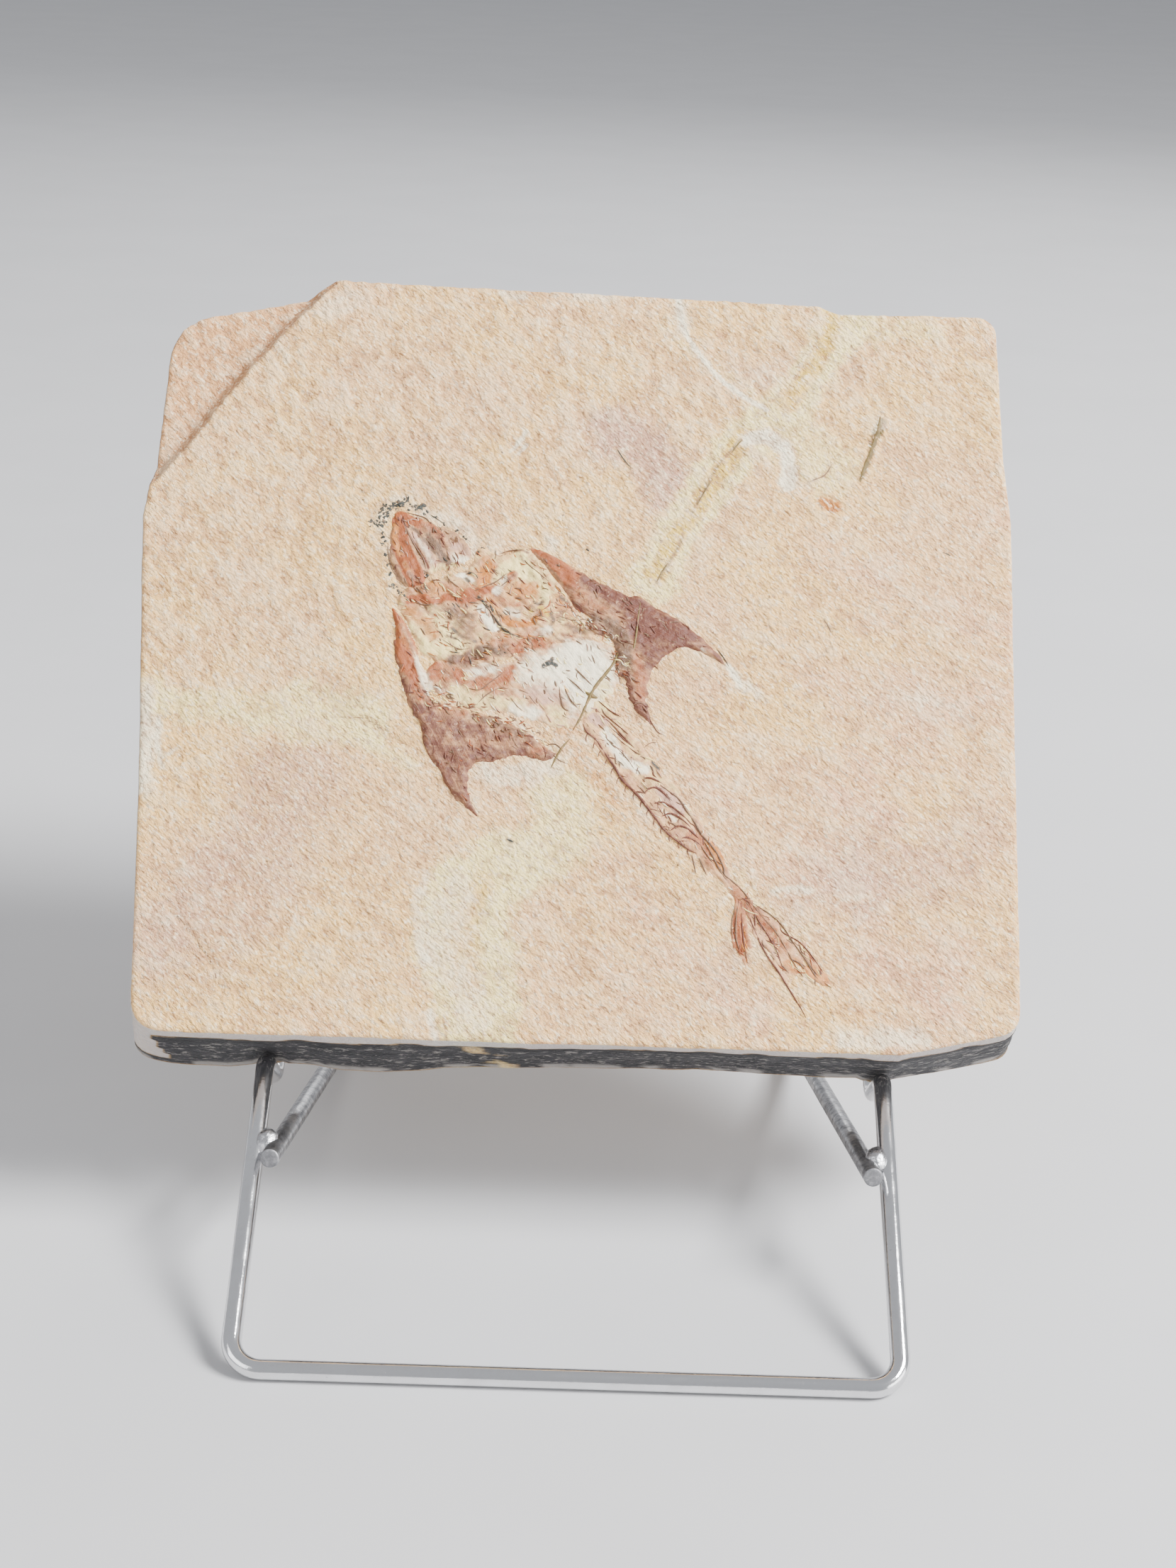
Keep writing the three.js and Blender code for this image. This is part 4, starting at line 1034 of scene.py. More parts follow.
LEFT_CHEEK = [(-34.5, 75.9), (-34, 72.8), (-33.8, 69.7), (-33.5, 66.5), (-32.8, 63.9), (-32, 61.6),
              (-31.2, 58.9), (-30.1, 56.7), (-28.5, 54), (-27.7, 50.4), (-26.5, 48.6),
              (-24.9, 46.3), (-23.6, 43.7), (-21.8, 41.4), (-20, 39.8), (-17.6, 38.1),
              (-18.9, 40.3), (-19.6, 42.3), (-19.9, 44.3), (-19.6, 46.4), (-18.4, 47.9),
              (-16, 48.1), (-13.4, 48.9), (-11, 49.4), (-8.8, 48.9), (-6.5, 48.8), (-5, 50),
              (-7.4, 51.6), (-8.8, 53.2), (-10.8, 54.1), (-13, 55), (-15.3, 56), (-17.8, 56.9),
              (-20, 57.3), (-22.4, 57.9), (-25, 58.5), (-27.2, 59.6), (-27.6, 61.5), (-27.6, 63.6),
              (-28.7, 65.4), (-29.5, 67.4), (-30.3, 69.7), (-31.3, 71.9), (-32.7, 73.9)]
RIGHT_CHEEK = [(-11, 88.3), (-8.8, 87.8), (-6.5, 87.2), (-4.3, 85.7), (-1.6, 84), (1.1, 82.5),
               (3.8, 80.9), (6.5, 79.8), (8.7, 79.6), (10.5, 78.4), (12, 77.3), (14.6, 76.2),
               (16.8, 74.9), (18.6, 73.6), (20.4, 72), (21.7, 70.6), (23.1, 68.8), (24.3, 66.9),
               (22.6, 67.9), (20.8, 69), (18.6, 69.8), (16.4, 70.3), (14.4, 69.2), (12.7, 67.9),
               (11.4, 65.6), (10.6, 63), (10.6, 60.3), (11, 58), (11.9, 55.2), (10.1, 56.6),
               (8.4, 58.6), (7.3, 60.7), (7.1, 62.5), (6.4, 63.9), (5.2, 64.8), (4.6, 66.8),
               (4.9, 69.2), (4, 71), (2.2, 71.9), (0.4, 72.8), (-0.6, 74.2), (0.4, 75.3),
               (-1.4, 76.4), (-2.9, 77.4), (-3.5, 79.1), (-4.8, 80.7), (-6.3, 82.5), (-8.1, 84.7),
               (-10.1, 86.9)]
BELLY = [(-13.6, 66.6), (-12, 69.4), (-6.4, 70.6), (0, 71.2), (4, 70), (5.6, 66), (5.2, 62.4),
         (2.4, 59.4), (0, 56.6), (-3.4, 54.6), (-8, 55.6), (-13, 57), (-19.6, 58), (-27, 60.6),
         (-28, 64), (-26.4, 66.6), (-20, 66.6)]
TRUNK = [(-0.8, 56), (0.4, 53.6), (2.4, 51.4), (4.4, 48.6), (6.5, 45.2), (8.5, 43.2), (11.2, 40.1),
         (14.2, 36.3), (17, 34), (19.4, 32), (21.4, 29.8), (23.4, 28.6), (25.4, 26.2), (27, 24.6),
         (28.6, 25.4), (27.4, 27.2), (25.4, 29), (24.8, 31.4), (23.6, 33.8), (21.9, 35.6),
         (20, 38.6), (17.7, 41.8), (15.4, 45), (12.4, 48.6), (9.2, 52.4), (6.2, 56.4),
         (3.6, 59.4), (1.4, 59.6)]
TAIL_UPPER = [(26.9, 26.6), (28.2, 25.9), (29.7, 24.4), (31.5, 22.7), (33.4, 21.7), (34.2, 19.8),
              (35.6, 18.4), (37.7, 17.8), (38.6, 16.4), (40.2, 14.3), (41.6, 12.4), (42.4, 10.9),
              (40.8, 10.6), (38.4, 12), (36.6, 12.2), (35, 10.4), (33.2, 12.8), (32.3, 14.6),
              (30.8, 17), (29.4, 19.1), (28.4, 21.4), (27.4, 24)]
TAIL_LOWER = [(26.7, 25.4), (25.8, 22.8), (25.3, 20.5), (25.7, 17.8), (26.4, 16), (28.4, 13.5),
              (28.8, 15.6), (29.2, 16.8), (28.6, 19.2), (28, 21.4), (27.9, 23.6)]

# Each plate's name, outline, height above the face, how crumbled it is, the pigment and strength
# laid over all of it, its own strokes, and the direction of its fibres in degrees.
PLATES = [
    ("fish_belly", BELLY, 0.14, 0.45, ("pale", 0.3), [
        ("pale", 0.85, 3.2, 1.6, [(-3, 66.6), (0, 65), (1.4, 61.6)]),
        ("umber", 0.3, 2, 2, [(-21, 62.5), (-17, 62), (-13, 63)]),
        ("clay", 0.35, 1.6, 1.6, [(-14, 59.6), (-17, 60), (-20, 60.4)]),
    ], -50),
    ("fish_snout", SNOUT, 0.4, 0.9, ("umber", 0.45), [
        ("lilac", 0.75, 0.7, 0.8, [(-31.2, 89.8), (-29.2, 87.2), (-27.8, 84.6), (-27.2, 82.6)]),
        ("pale", 0.4, 0.4, 0.6, [(-30.4, 88.6), (-28.8, 86.2), (-27.8, 83.4)]),
        ("cream", 0.5, 0.8, 0.8, [(-27.6, 83.4), (-25.4, 84), (-23.6, 84.6)]),
        ("lilac", 0.55, 1.2, 1.0, [(-24.6, 88), (-22.6, 86.4)]),
        ("umber", 0.6, 0.8, 0.8, [(-29.6, 92), (-27.4, 90), (-26, 88)]),
        ("pale", 0.6, 0.8, 0.8, [(-24.2, 85.8), (-22.4, 85.4)]),
        ("clay", 1, 1.7, 0.4, [(-34, 92.6), (-34.2, 90), (-33.5, 87.2), (-32.4, 84.6),
                               (-31.2, 82.4), (-30.4, 81)]),
        ("ochre", 0.7, 0.6, 0.6, [(-34.7, 91.4), (-34.6, 88.6), (-33.8, 86.2)]),
        ("ochre", 0.45, 0.5, 0.5, [(-32.8, 84), (-31.4, 82.2)]),
        ("clay", 0.8, 0.9, 0.7, [(-33, 93), (-31, 92.4), (-28.6, 91.2), (-26.6, 89.4)]),
        ("rust", 0.45, 0.7, 0.8, [(-29.4, 91.4), (-27.2, 89.6), (-25.8, 88)]),
        ("umber", 0.7, 0.5, 0.6, [(-28.8, 89.6), (-27, 87.4), (-26, 85.6)]),
        ("umber", 0.95, 0.45, 0.4, [(-26.3, 86.1), (-25.2, 84.9)]),
        ("rust", 0.85, 0.16, 0.25, [(-33.6, 92.8), (-32.8, 91), (-31.8, 89), (-30.4, 86.8),
                                    (-29.2, 85), (-28.6, 83.6)]),
        ("umber", 0.75, 0.16, 0.25, [(-31.8, 91.4), (-30.4, 90), (-29, 88.2), (-27.6, 86.6)]),
        ("rust", 0.5, 0.2, 0.3, [(-35.2, 91.2), (-35.4, 88), (-34.7, 85), (-33.4, 82.9)]),
        ("rust", 0.6, 0.4, 0.5, [(-32, 82.3), (-30.6, 81.4)]),
    ], -65),
    ("fish_skull", SKULL, 0.3, 1.0, ("cream", 0.3), [], -40),
    ("fish_trunk", TRUNK, 0.18, 0.6, ("lilac", 0.25), [], -48),
    ("fish_left_cheek", LEFT_CHEEK, 0.5, 0.6, ("rust", 0.64), [
        ("clay", 0.95, 2.4, 1.6, [(-33, 75), (-31.8, 70), (-30.2, 65.6)]),
        ("ochre", 0.3, 0.8, 0.8, [(-32.6, 73), (-31.6, 69)]),
        ("clay", 0.6, 0.9, 1, [(-29.8, 66), (-30.2, 62.4), (-29, 59.6)]),
        ("pale", 0.4, 0.25, 0.5, [(-30.4, 68.4), (-29.2, 65.6), (-28.2, 62.8)]),
        ("rust", 0.6, 0.3, 0.4, [(-33.9, 72), (-33.6, 67), (-32.9, 63.6), (-31.6, 59.6)]),
        ("rust", 0.5, 0.25, 0.4, [(-32.6, 72.6), (-31, 69.4), (-29.8, 66.4)]),
        ("umber", 0.55, 0.9, 0.8, [(-22.6, 57.2), (-18.6, 56), (-14.4, 54.6), (-11.2, 53)]),
        ("clay", 0.45, 0.9, 0.9, [(-25.4, 57.6), (-21, 56.8)]),
        ("clay", 0.5, 0.7, 0.8, [(-9, 50.2), (-7, 50)]),
        ("pale", 0.7, 0.12, 0.25, [(-24.6, 58.2), (-23.4, 57.6)]),
        ("pale", 0.7, 0.12, 0.25, [(-10.2, 54), (-9.2, 53.2), (-8.2, 51.8)]),
        ("clay", 0.3, 0.6, 0.8, [(-24, 51.6), (-17, 51.8), (-12, 51)]),
    ], -62),
    ("fish_right_cheek", RIGHT_CHEEK, 0.48, 0.6, ("rust", 0.68), [
        ("clay", 0.75, 1.5, 1.3, [(-9.6, 87), (-6, 84.8), (-3.4, 82.4)]),
        ("clay", 0.5, 1.2, 1.2, [(-2, 79.8), (1.6, 77.6), (5, 75.4)]),
        ("umber", 0.7, 1.7, 1.3, [(1, 75), (4, 73.8), (6.4, 71), (6.4, 67.4)]),
        ("cream", 0.35, 0.4, 0.6, [(1.8, 74.2), (4, 72.6)]),
        ("clay", 0.6, 1, 1, [(8.6, 68), (9.4, 64.6), (9.6, 61)]),
        ("umber", 0.4, 0.9, 0.9, [(7, 69), (7.6, 66)]),
        ("rust", 0.9, 0.5, 0.6, [(-1, 82.6), (3, 80.4), (7.6, 78.4), (11, 76.6)]),
        ("rust", 0.9, 1.5, 1.2, [(9.6, 73.6), (13, 73), (17, 72)]),
        ("lilac", 0.4, 0.3, 0.5, [(17.4, 71), (20, 70.6), (21.6, 69.6)]),
        ("pale", 0.55, 0.12, 0.25, [(20, 70), (21.4, 69), (22.2, 68.4)]),
        ("ink", 0.45, 0.2, 0.4, [(21, 69.2), (22.6, 68), (23.6, 67.2)]),
        ("umber", 0.5, 0.2, 0.3, [(-10, 87.4), (-7, 84.2), (-4.8, 81.4)]),
        ("ink", 0.3, 0.3, 0.5, [(9, 80), (10.6, 78.6)]),
    ], -32),
    ("fish_tail_upper", TAIL_UPPER, 0.1, 0.6, ("lilac", 0.3), [
        ("rust", 0.55, 1, 0.9, [(28.6, 24.6), (30.2, 22.2), (31.4, 20.2)]),
        ("clay", 0.5, 1.2, 1, [(32, 20), (34.6, 17)]),
        ("ochre", 0.6, 1.2, 1.1, [(36, 14), (39, 12.6), (41.6, 11.4)]),
    ], -48),
    ("fish_tail_lower", TAIL_LOWER, 0.1, 0.6, ("clay", 0.35), [
        ("clay", 0.6, 1, 1, [(26.8, 21), (27.2, 17)]),
    ], -82),
]


def bone_material(pigments):
    """Bone: fibrous, slightly waxy, its pigment broken up along the fibres."""
    nodes = Nodes("fossil_bone")
    bed = nodes.field("bed", "Vector")
    fibres = nodes.field("fibres", "Vector")
    mottle = nodes.span(nodes.noise(bed, 2.2, 5, 0.65), 0.35, 0.65)
    colour = nodes.mix(mottle, BONE, BONE_MOTTLE)
    colour = pigmented(nodes, bed, colour, pigments, 0.8, 0.78, (0.5, 1, 1))
    streak = nodes.noise(fibres, 1.0, 5, 0.65)
    colour = nodes.mix(nodes.span(streak, 0.52, 0.8, 0, 0.45), colour, FIBRE_LIGHT)
    colour = nodes.mix(nodes.span(streak, 0.22, 0.5, 0.6, 0), colour, FIBRE_DARK)
    flake = nodes.span(nodes.noise(bed, 0.9, 3, 0.6), 0.62, 0.74, 0, 0.45)
    colour = nodes.mix(flake, colour, BONE_FLAKE)
    bump = nodes.bump(streak, 0.2, 0.8)
    bump = nodes.bump(nodes.noise(bed, 0.7, 4, 0.65), 0.3, 0.8, bump)
    rough = nodes.span(nodes.noise(bed, 3, 3), 0.3, 0.7, 0.42, 0.62)
    return nodes.finish(Base_Color=colour, Roughness=rough, Normal=bump)


def plate_rise(depth, height):
    """How far a plate stands out of the stone at a depth inside its outline."""
    return height * ramp(depth, -0.1, 0.5 + 0.9 * height)


def plate_top(points, outline, height, crumble, fibres, stone):
    """Height of a plate: it rises steeply at its outline and is ribbed along its fibres.

    Outside the outline the surface sinks under the face, so the stone hides its border.
    """
    fray = 0.42 - 0.4 * height
    depth = depth_inside(points, outline) + fray * noise(pad(points), 1.1, 2, 81)
    depth += fray * noise(pad(fibres), 0.8, 1, 85)
    rise = plate_rise(depth, height) - 0.75 * ramp(-depth, -0.05, 0.45)
    ribs = 0.09 * noise(pad(fibres), 1, 2, 82) + 0.07 * noise(pad(points), 0.9, 2, 83)
    ribs += crumble * (0.22 * noise(pad(points), 1.1, 2, 86) + 0.16 * noise(pad(fibres), 1.4, 2, 87))
    worn = 0.35 * height * noise(pad(points), 3, 2, 84) * ramp(depth, 0, 1.2)
    stone_height = face_height(points, stone, PLATE_DENTS)
    return stone_height + rise + (ribs + worn) * ramp(depth, 0, 0.5)


def build_plate(name, outline, height, crumble, ground, strokes, angle, stone, material):
    """One plate as a closed shell: its top over a flat underside, with walls round its border.

    The shell covers the cells of a square grid that lie within a margin of the outline.
    """
    outline = spline(outline, 5, closed=True)
    low, high = outline.min(0) - 1.5, outline.max(0) + 1.5
    count = np.ceil((high - low) / PLATE_GRID).astype(int)
    x, y = np.meshgrid(low[0] + PLATE_GRID * np.arange(count[0]),
                       low[1] + PLATE_GRID * np.arange(count[1]))
    points = np.column_stack((x.ravel(), y.ravel()))
    kept = (depth_inside(points, outline) > -PLATE_MARGIN).reshape(x.shape)
    cells = kept[:-1, :-1] & kept[1:, :-1] & kept[:-1, 1:] & kept[1:, 1:]
    quads = grid_faces(count[0], count[1])[cells.ravel()]
    used, quads = np.unique(quads, return_inverse=True)
    quads = quads.reshape(-1, 4)
    points = points[used]
    fibres = turned(points, angle, 3.6, 0.5)
    top = np.column_stack((points, plate_top(points, outline, height, crumble, fibres, stone)))
    under = np.column_stack((points, face_height(points, stone, 0) - PLATE_ROOT))
    edges = np.stack((quads, np.roll(quads, -1, 1)), -1).reshape(-1, 2)
    key = np.sort(edges, 1) @ np.array([len(points), 1])
    _, first, times = np.unique(key, return_index=True, return_counts=True)
    border = edges[first[times == 1]]
    walls = np.column_stack((border[:, ::-1], border + len(points)))
    bed = np.vstack((top, under))
    all_over = [(*ground, *WHOLE_PLATE, [points.mean(0)])]
    pigments = stained(points, all_over, strokes, FISH_STAINS)
    fields = {key: np.tile(value, 2) for key, value in pigments.items()}
    fields["bed"] = bed
    fields["fibres"] = np.tile(np.column_stack((fibres, np.zeros(len(fibres)))), (2, 1))
    faces = [quads, quads[:, ::-1] + len(points), walls]
    make_piece(name, placed(bed), faces, material, fields=fields)


# ---- Fine bones: tapered needles half sunk in the face ----

BACKBONE = [(-0.4, 55.6), (0.2, 54.1), (1.9, 52.7), (3.1, 50.8), (4.2, 49.3), (5.4, 47.6),
            (6.5, 45.7), (8.4, 43.8), (10, 42.1), (11.2, 40.5), (12.7, 38.5), (14.2, 36.6),
            (16.4, 34.8), (18.4, 33.4), (19.7, 32.8)]
BACK_EDGE = [(12.6, 45.2), (14.8, 43.7), (16.5, 42.3), (17.7, 40.4), (19.1, 38.4), (20.3, 36.3),
             (21.8, 34.6), (23.2, 32.6), (24.2, 30.4), (24.4, 29.2), (26.2, 27.8), (27.7, 26.2)]
# Fine bones and marks drawn one by one: pigment, width, height, path.
NEEDLES = [
    ("rust", 0.5, 0.32, BACKBONE),
    ("umber", 0.36, 0.2, BACK_EDGE),
    # the olive ray across the belly
    ("olive", 0.6, 0.32, [(5.8, 71), (5.4, 69.2), (4.6, 67), (3.3, 65), (1.8, 62.9), (0.7, 60.8),
                          (-0.2, 58.4), (-1.2, 56), (-2.2, 54.2)]),
    ("olive", 0.45, 0.24, [(-2.6, 52.8), (-3.8, 51.2), (-4.7, 49.6), (-5.8, 47.2)]),
    ("olive", 0.8, 0.3, [(-0.2, 61.4), (0.9, 60.8), (2, 60.4)]),
    ("olive", 0.36, 0.12, [(9, 78.6), (8.6, 75.2), (8.3, 71.6), (7.6, 68), (6.2, 65.4)]),
    # ribs
    ("umber", 0.3, 0.22, [(-2.2, 65.8), (-0.6, 64.2), (1.2, 62.4)]),
    ("umber", 0.26, 0.2, [(-3.6, 64.1), (-1.8, 62.6), (-0.2, 61)]),
    ("umber", 0.32, 0.22, [(-4.8, 62.4), (-4.5, 60.4), (-3.9, 58.4), (-3, 57.8)]),
    ("umber", 0.28, 0.2, [(-3.8, 62), (-2.8, 60), (-1.4, 58.3)]),
    ("umber", 0.24, 0.18, [(-10, 60.5), (-9.2, 59.4), (-8.2, 58.3)]),
    ("umber", 0.22, 0.16, [(-11.6, 59.4), (-10.6, 58.2)]),
    ("umber", 0.2, 0.16, [(-13.2, 60), (-12, 58.4), (-11, 57.6)]),
    ("rust", 0.26, 0.2, [(2, 60), (4, 58.2), (6.2, 57)]),
    ("rust", 0.24, 0.18, [(2.8, 57.8), (5.4, 55.6), (8, 53.4)]),
    ("rust", 0.24, 0.18, [(1.8, 58), (4.4, 55.8), (6.6, 53.4), (8.6, 51.4)]),
    ("rust", 0.22, 0.18, [(4, 55.4), (6.4, 53.2), (8.6, 51.4)]),
    ("rust", 0.2, 0.16, [(4.6, 54), (7.4, 51.6), (9.8, 50)]),
    ("umber", 0.2, 0.16, [(10.2, 51.6), (11.2, 52.4), (12.4, 52.6)]),
    ("umber", 0.2, 0.16, [(3.4, 53.4), (5, 51.6), (6.6, 49.4)]),
    ("umber", 0.18, 0.14, [(5, 51.8), (7, 49.8), (8.6, 47.6)]),
    # arcs of the trunk
    ("rust", 0.36, 0.24, [(10.2, 46), (11.6, 46), (13.4, 45.2)]),
    ("rust", 0.42, 0.26, [(10.4, 43.2), (11.2, 44.1), (12.4, 44.3), (13.8, 43.4), (15.2, 41.6)]),
    ("rust", 0.4, 0.26, [(12, 41.4), (13.4, 41.8), (15.2, 41), (17, 39.6), (18.6, 38)]),
    ("rust", 0.38, 0.26, [(13.4, 39.2), (15, 39.8), (17, 38.8), (19, 36.8)]),
    ("rust", 0.4, 0.26, [(14.8, 36.6), (16.4, 37.6), (18.2, 37), (20, 35.4)]),
    ("rust", 0.36, 0.24, [(16.4, 35.2), (18.2, 35.6), (20.4, 34.2)]),
    ("umber", 0.3, 0.22, [(20.8, 35), (22, 33), (23.2, 30.6), (24, 29.2)]),
    ("umber", 0.24, 0.2, [(20, 34.6), (21.2, 32.8), (22.6, 30.8)]),
    # spines under the tail stalk
    ("umber", 0.28, 0.2, [(18.7, 32.8), (19.1, 31.2), (19.5, 29.2)]),
    ("umber", 0.28, 0.2, [(19.9, 32.2), (20.6, 30.8), (21.3, 29)]),
    ("umber", 0.3, 0.2, [(20.8, 27.6), (21, 26.8)]),
    ("umber", 0.26, 0.2, [(24.2, 29.3), (26.2, 27.7), (27.7, 26.2), (28.8, 24.7)]),
    # tail rays
    ("rust", 0.34, 0.26, [(27.6, 25.6), (28.8, 21.6), (30.2, 18.2), (31.6, 15.5), (33.5, 12.8),
                          (35.4, 9.7), (37, 7.2), (38.2, 5)]),
    ("rust", 0.26, 0.22, [(28.2, 25), (30.2, 21.4), (32, 18.6), (33.6, 15.4), (34.4, 12.8)]),
    ("umber", 0.24, 0.2, [(28.6, 24.8), (31.4, 21.4), (33.2, 19.4), (35.4, 15.6), (37, 12.8)]),
    ("umber", 0.24, 0.2, [(29, 24.6), (33.4, 21.6), (36.2, 17.6), (39, 13.8), (40.8, 11.6)]),
    ("rust", 0.26, 0.22, [(33.6, 21.4), (34.2, 19.6), (36.8, 18.2), (38.4, 16.6), (40.2, 14.2),
                          (42.2, 11)]),
    ("umber", 0.22, 0.18, [(35.6, 18.2), (37.8, 15.4), (39.6, 12.4), (41, 10.6)]),
    ("umber", 0.3, 0.24, [(26.8, 25), (26.4, 21.6), (26.4, 18.4), (27, 16)]),
    ("rust", 0.24, 0.2, [(27.2, 24.6), (27.4, 20.6), (27.8, 17), (28.4, 14)]),
    ("umber", 0.22, 0.18, [(26.2, 23.4), (25.6, 20.6), (25.9, 17.8)]),
    # hair-like tips and edges of the cheek spines
    ("rust", 0.22, 0.2, [(10.4, 59), (11.2, 56.6), (12.4, 54.6), (13.4, 54)]),
    ("ink", 0.2, 0.18, [(22.4, 70.4), (23.8, 68.6), (24.8, 66.8)]),
    ("umber", 0.24, 0.22, [(-6.8, 51.4), (-5, 51.6), (-3.4, 50)]),
    ("umber", 0.2, 0.18, [(-8, 51.8), (-6, 50.4), (-4.4, 48.8), (-2.4, 48)]),
    # edges in the head
    ("umber", 0.26, 0.22, [(-33.5, 93.4), (-32.7, 90.6), (-31.2, 87.8), (-29.6, 85.4), (-28.9, 83)]),
    ("umber", 0.28, 0.2, [(-29.9, 90), (-28.7, 88.6), (-27.4, 87.6)]),
    ("ink", 0.4, 0.22, [(-26.2, 86), (-25.6, 85.2), (-24.9, 84.8)]),
    ("umber", 0.26, 0.2, [(-33.4, 94.4), (-31, 93.8), (-29.4, 93.2), (-28.2, 91.4)]),
    ("umber", 0.24, 0.2, [(-36, 88.4), (-35.7, 85.8), (-34.9, 83.2), (-33.5, 81.2)]),
    ("ink", 0.22, 0.14, [(-29, 94.2), (-27.6, 93.2), (-26, 92.2)]),
    ("ink", 0.24, 0.2, [(-22, 82.7), (-21, 83), (-20, 82.4), (-19.6, 81.4)]),
    ("umber", 0.24, 0.2, [(-15.8, 80.6), (-14.6, 81.6), (-13.4, 82.4), (-12.8, 82.4)]),
    ("umber", 0.22, 0.18, [(-25.4, 82.2), (-24.2, 81), (-23, 80.2)]),
    ("ink", 0.24, 0.26, SKULL_CRACK[:-1]),
    ("umber", 0.3, 0.3, [(-21, 79.2), (-18.2, 80.6), (-16.4, 81.6), (-14.6, 83.3)]),
    ("umber", 0.22, 0.2, [(-12.4, 86.6), (-10.6, 84.6), (-8.6, 83), (-7, 81.6)]),
    ("umber", 0.22, 0.2, [(-16.2, 86.8), (-14.4, 87.6), (-12.4, 87.8), (-10.8, 87.8)]),
    ("clay", 0.3, 0.26, [(-8.4, 76.2), (-7, 77.4), (-7, 79.4)]),
    ("umber", 0.24, 0.2, [(-30.8, 77), (-28.4, 76.6), (-26, 77)]),
    ("umber", 0.22, 0.2, [(-25.4, 70.2), (-22.6, 68.6), (-20.4, 68.8)]),
    ("umber", 0.22, 0.18, [(-19, 58.4), (-17.4, 60.2), (-15.2, 61.6), (-13.6, 61.6)]),
    ("umber", 0.22, 0.18, [(-20.6, 61.4), (-18.6, 61.2), (-16.6, 62.8), (-14, 65)]),
    ("umber", 0.22, 0.18, [(-22, 58.8), (-20.6, 57.8), (-18.8, 58)]),
    ("umber", 0.2, 0.18, [(-2.4, 74), (-1, 75), (1, 74.4)]),
    # cracks and marks in the stone away from the fish
    ("umber", 0.3, 0.1, [(-69.1, 20.3), (-67, 18.6), (-64.9, 16), (-62.6, 13.4), (-61.2, 11.2),
                         (-60.2, 8.6), (-59, 6.5)]),
    ("umber", 0.3, 0.1, LEFT_CRACK),
    ("umber", 0.26, 0.1, FLAKE_GOUGE),
    ("umber", 0.22, 0.1, TOP_GOUGE),
    ("umber", 0.26, 0.1, UPPER_GOUGE),
    ("umber", 0.3, 0.1, [(-47.5, 71), (-46.6, 70.2), (-45.6, 69)]),
    ("olive", 0.36, 0.1, [(26.8, 110.9), (25.6, 109.6), (24.6, 108)]),
    ("olive", 0.3, 0.1, [(21.4, 103), (19.8, 100), (18.6, 97.6)]),
    ("olive", 0.36, 0.1, [(13.8, 86.4), (12.6, 84.4), (11.6, 82.2)]),
    ("umber", 0.26, 0.1, [(41.2, 76.5), (42, 75.4), (42.6, 73.9)]),
    ("umber", 0.24, 0.1, BAND_CRACK),
    ("ink", 0.26, 0.1, [(4, 108.4), (5.2, 106.4), (6.8, 104.4)]),
    ("ink", 0.3, 0.1, [(62.4, 90), (63.2, 89.8), (64, 89.3)]),
    ("ink", 0.4, 0.12, [(-12.9, 34.3), (-12.2, 34.1), (-11.6, 33.8)]),
    ("ink", 0.45, 0.14, [(-0.9, 88.5), (-0.6, 88.3), (-0.3, 88)]),
    ("olive", 0.95, 0.1, [(51.6, 116.6), (51.2, 113.6), (50, 109.4), (48.6, 105.6), (47.6, 102.6)]),
]
SPINE_TICKS = 15  # short processes along the backbone
LIGHT_NEEDLE = (3, 6)  # parts between path points and faces round, where there are hundreds


def needle(path, width, height, stone, fine, steps, sides):
    """Points and faces of a tapered needle: an ellipse carried along a curve on the face.

    Its half width falls to nothing at both ends as the square root of a sine, and small bumps
    run along it.
    """
    centre = spline(path, steps)
    _, across = ahead_and_aside(centre)
    share = np.linspace(0, 1, len(centre))
    taper = np.sqrt(np.sin(np.pi * np.clip(share, 0.004, 0.996)))
    taper *= 1 + 0.18 * noise(pad(centre), 0.8, 1, 91)
    angle = np.arange(sides) * 2 * np.pi / sides
    side = np.cos(angle)[None, :, None] * across[:, None, :] * (width / 2 * taper)[:, None, None]
    flat = (centre[:, None, :] + side).reshape(-1, 2)
    level = np.repeat(face_height(centre, stone, fine) - 0.03, sides)
    lift = (np.sin(angle)[None, :] * (height * taper)[:, None]).ravel()
    rings = np.arange(len(centre) * sides).reshape(-1, sides)
    points = np.column_stack((flat, level + lift))
    tips = np.vstack((points[rings[0]].mean(0), points[rings[-1]].mean(0)))
    return np.vstack((points, tips)), tube_faces(rings)


def build_needles(name, needles, stone, material, steps=4, sides=8, seed=1):
    """Many needles as one mesh, each with one pigment or several laid over each other."""
    random = np.random.default_rng(seed)
    lifts = bone_under(np.array([path[len(path) // 2] for *_, path in needles], float))
    names = FossilPigmentSettings.__annotations__
    all_points, all_faces, strengths, start = [], [], [], 0
    for (pigments, width, height, path), lift in zip(needles, lifts):
        fine = 1 if lift < 0.02 else PLATE_DENTS
        points, faces = needle(path, width, height, stone, fine, steps, sides)
        points[:, 2] += lift
        all_points.append(points)
        all_faces += [part + start for part in faces]
        strength = random.uniform(0.7, 1)
        worn = [strength * (key in pigments) for key in names]
        strengths.append(np.tile(worn, (len(points), 1)))
        start += len(points)
    bed = np.vstack(all_points)
    fields = dict(zip(names, np.vstack(strengths).T))
    fields["bed"] = bed
    fields["fibres"] = bed * 1.2
    make_piece(name, placed(bed), all_faces, material, fields=fields)


def bone_under(points):
    """How far bone stands out of the stone at each point, so that needles rest on top of it."""
    lift = np.zeros(len(points))
    for _, outline, height, *_ in PLATES:
        depth = depth_inside(points, spline(outline, 3, closed=True))
        lift = np.maximum(lift, plate_rise(depth, height))
    return lift


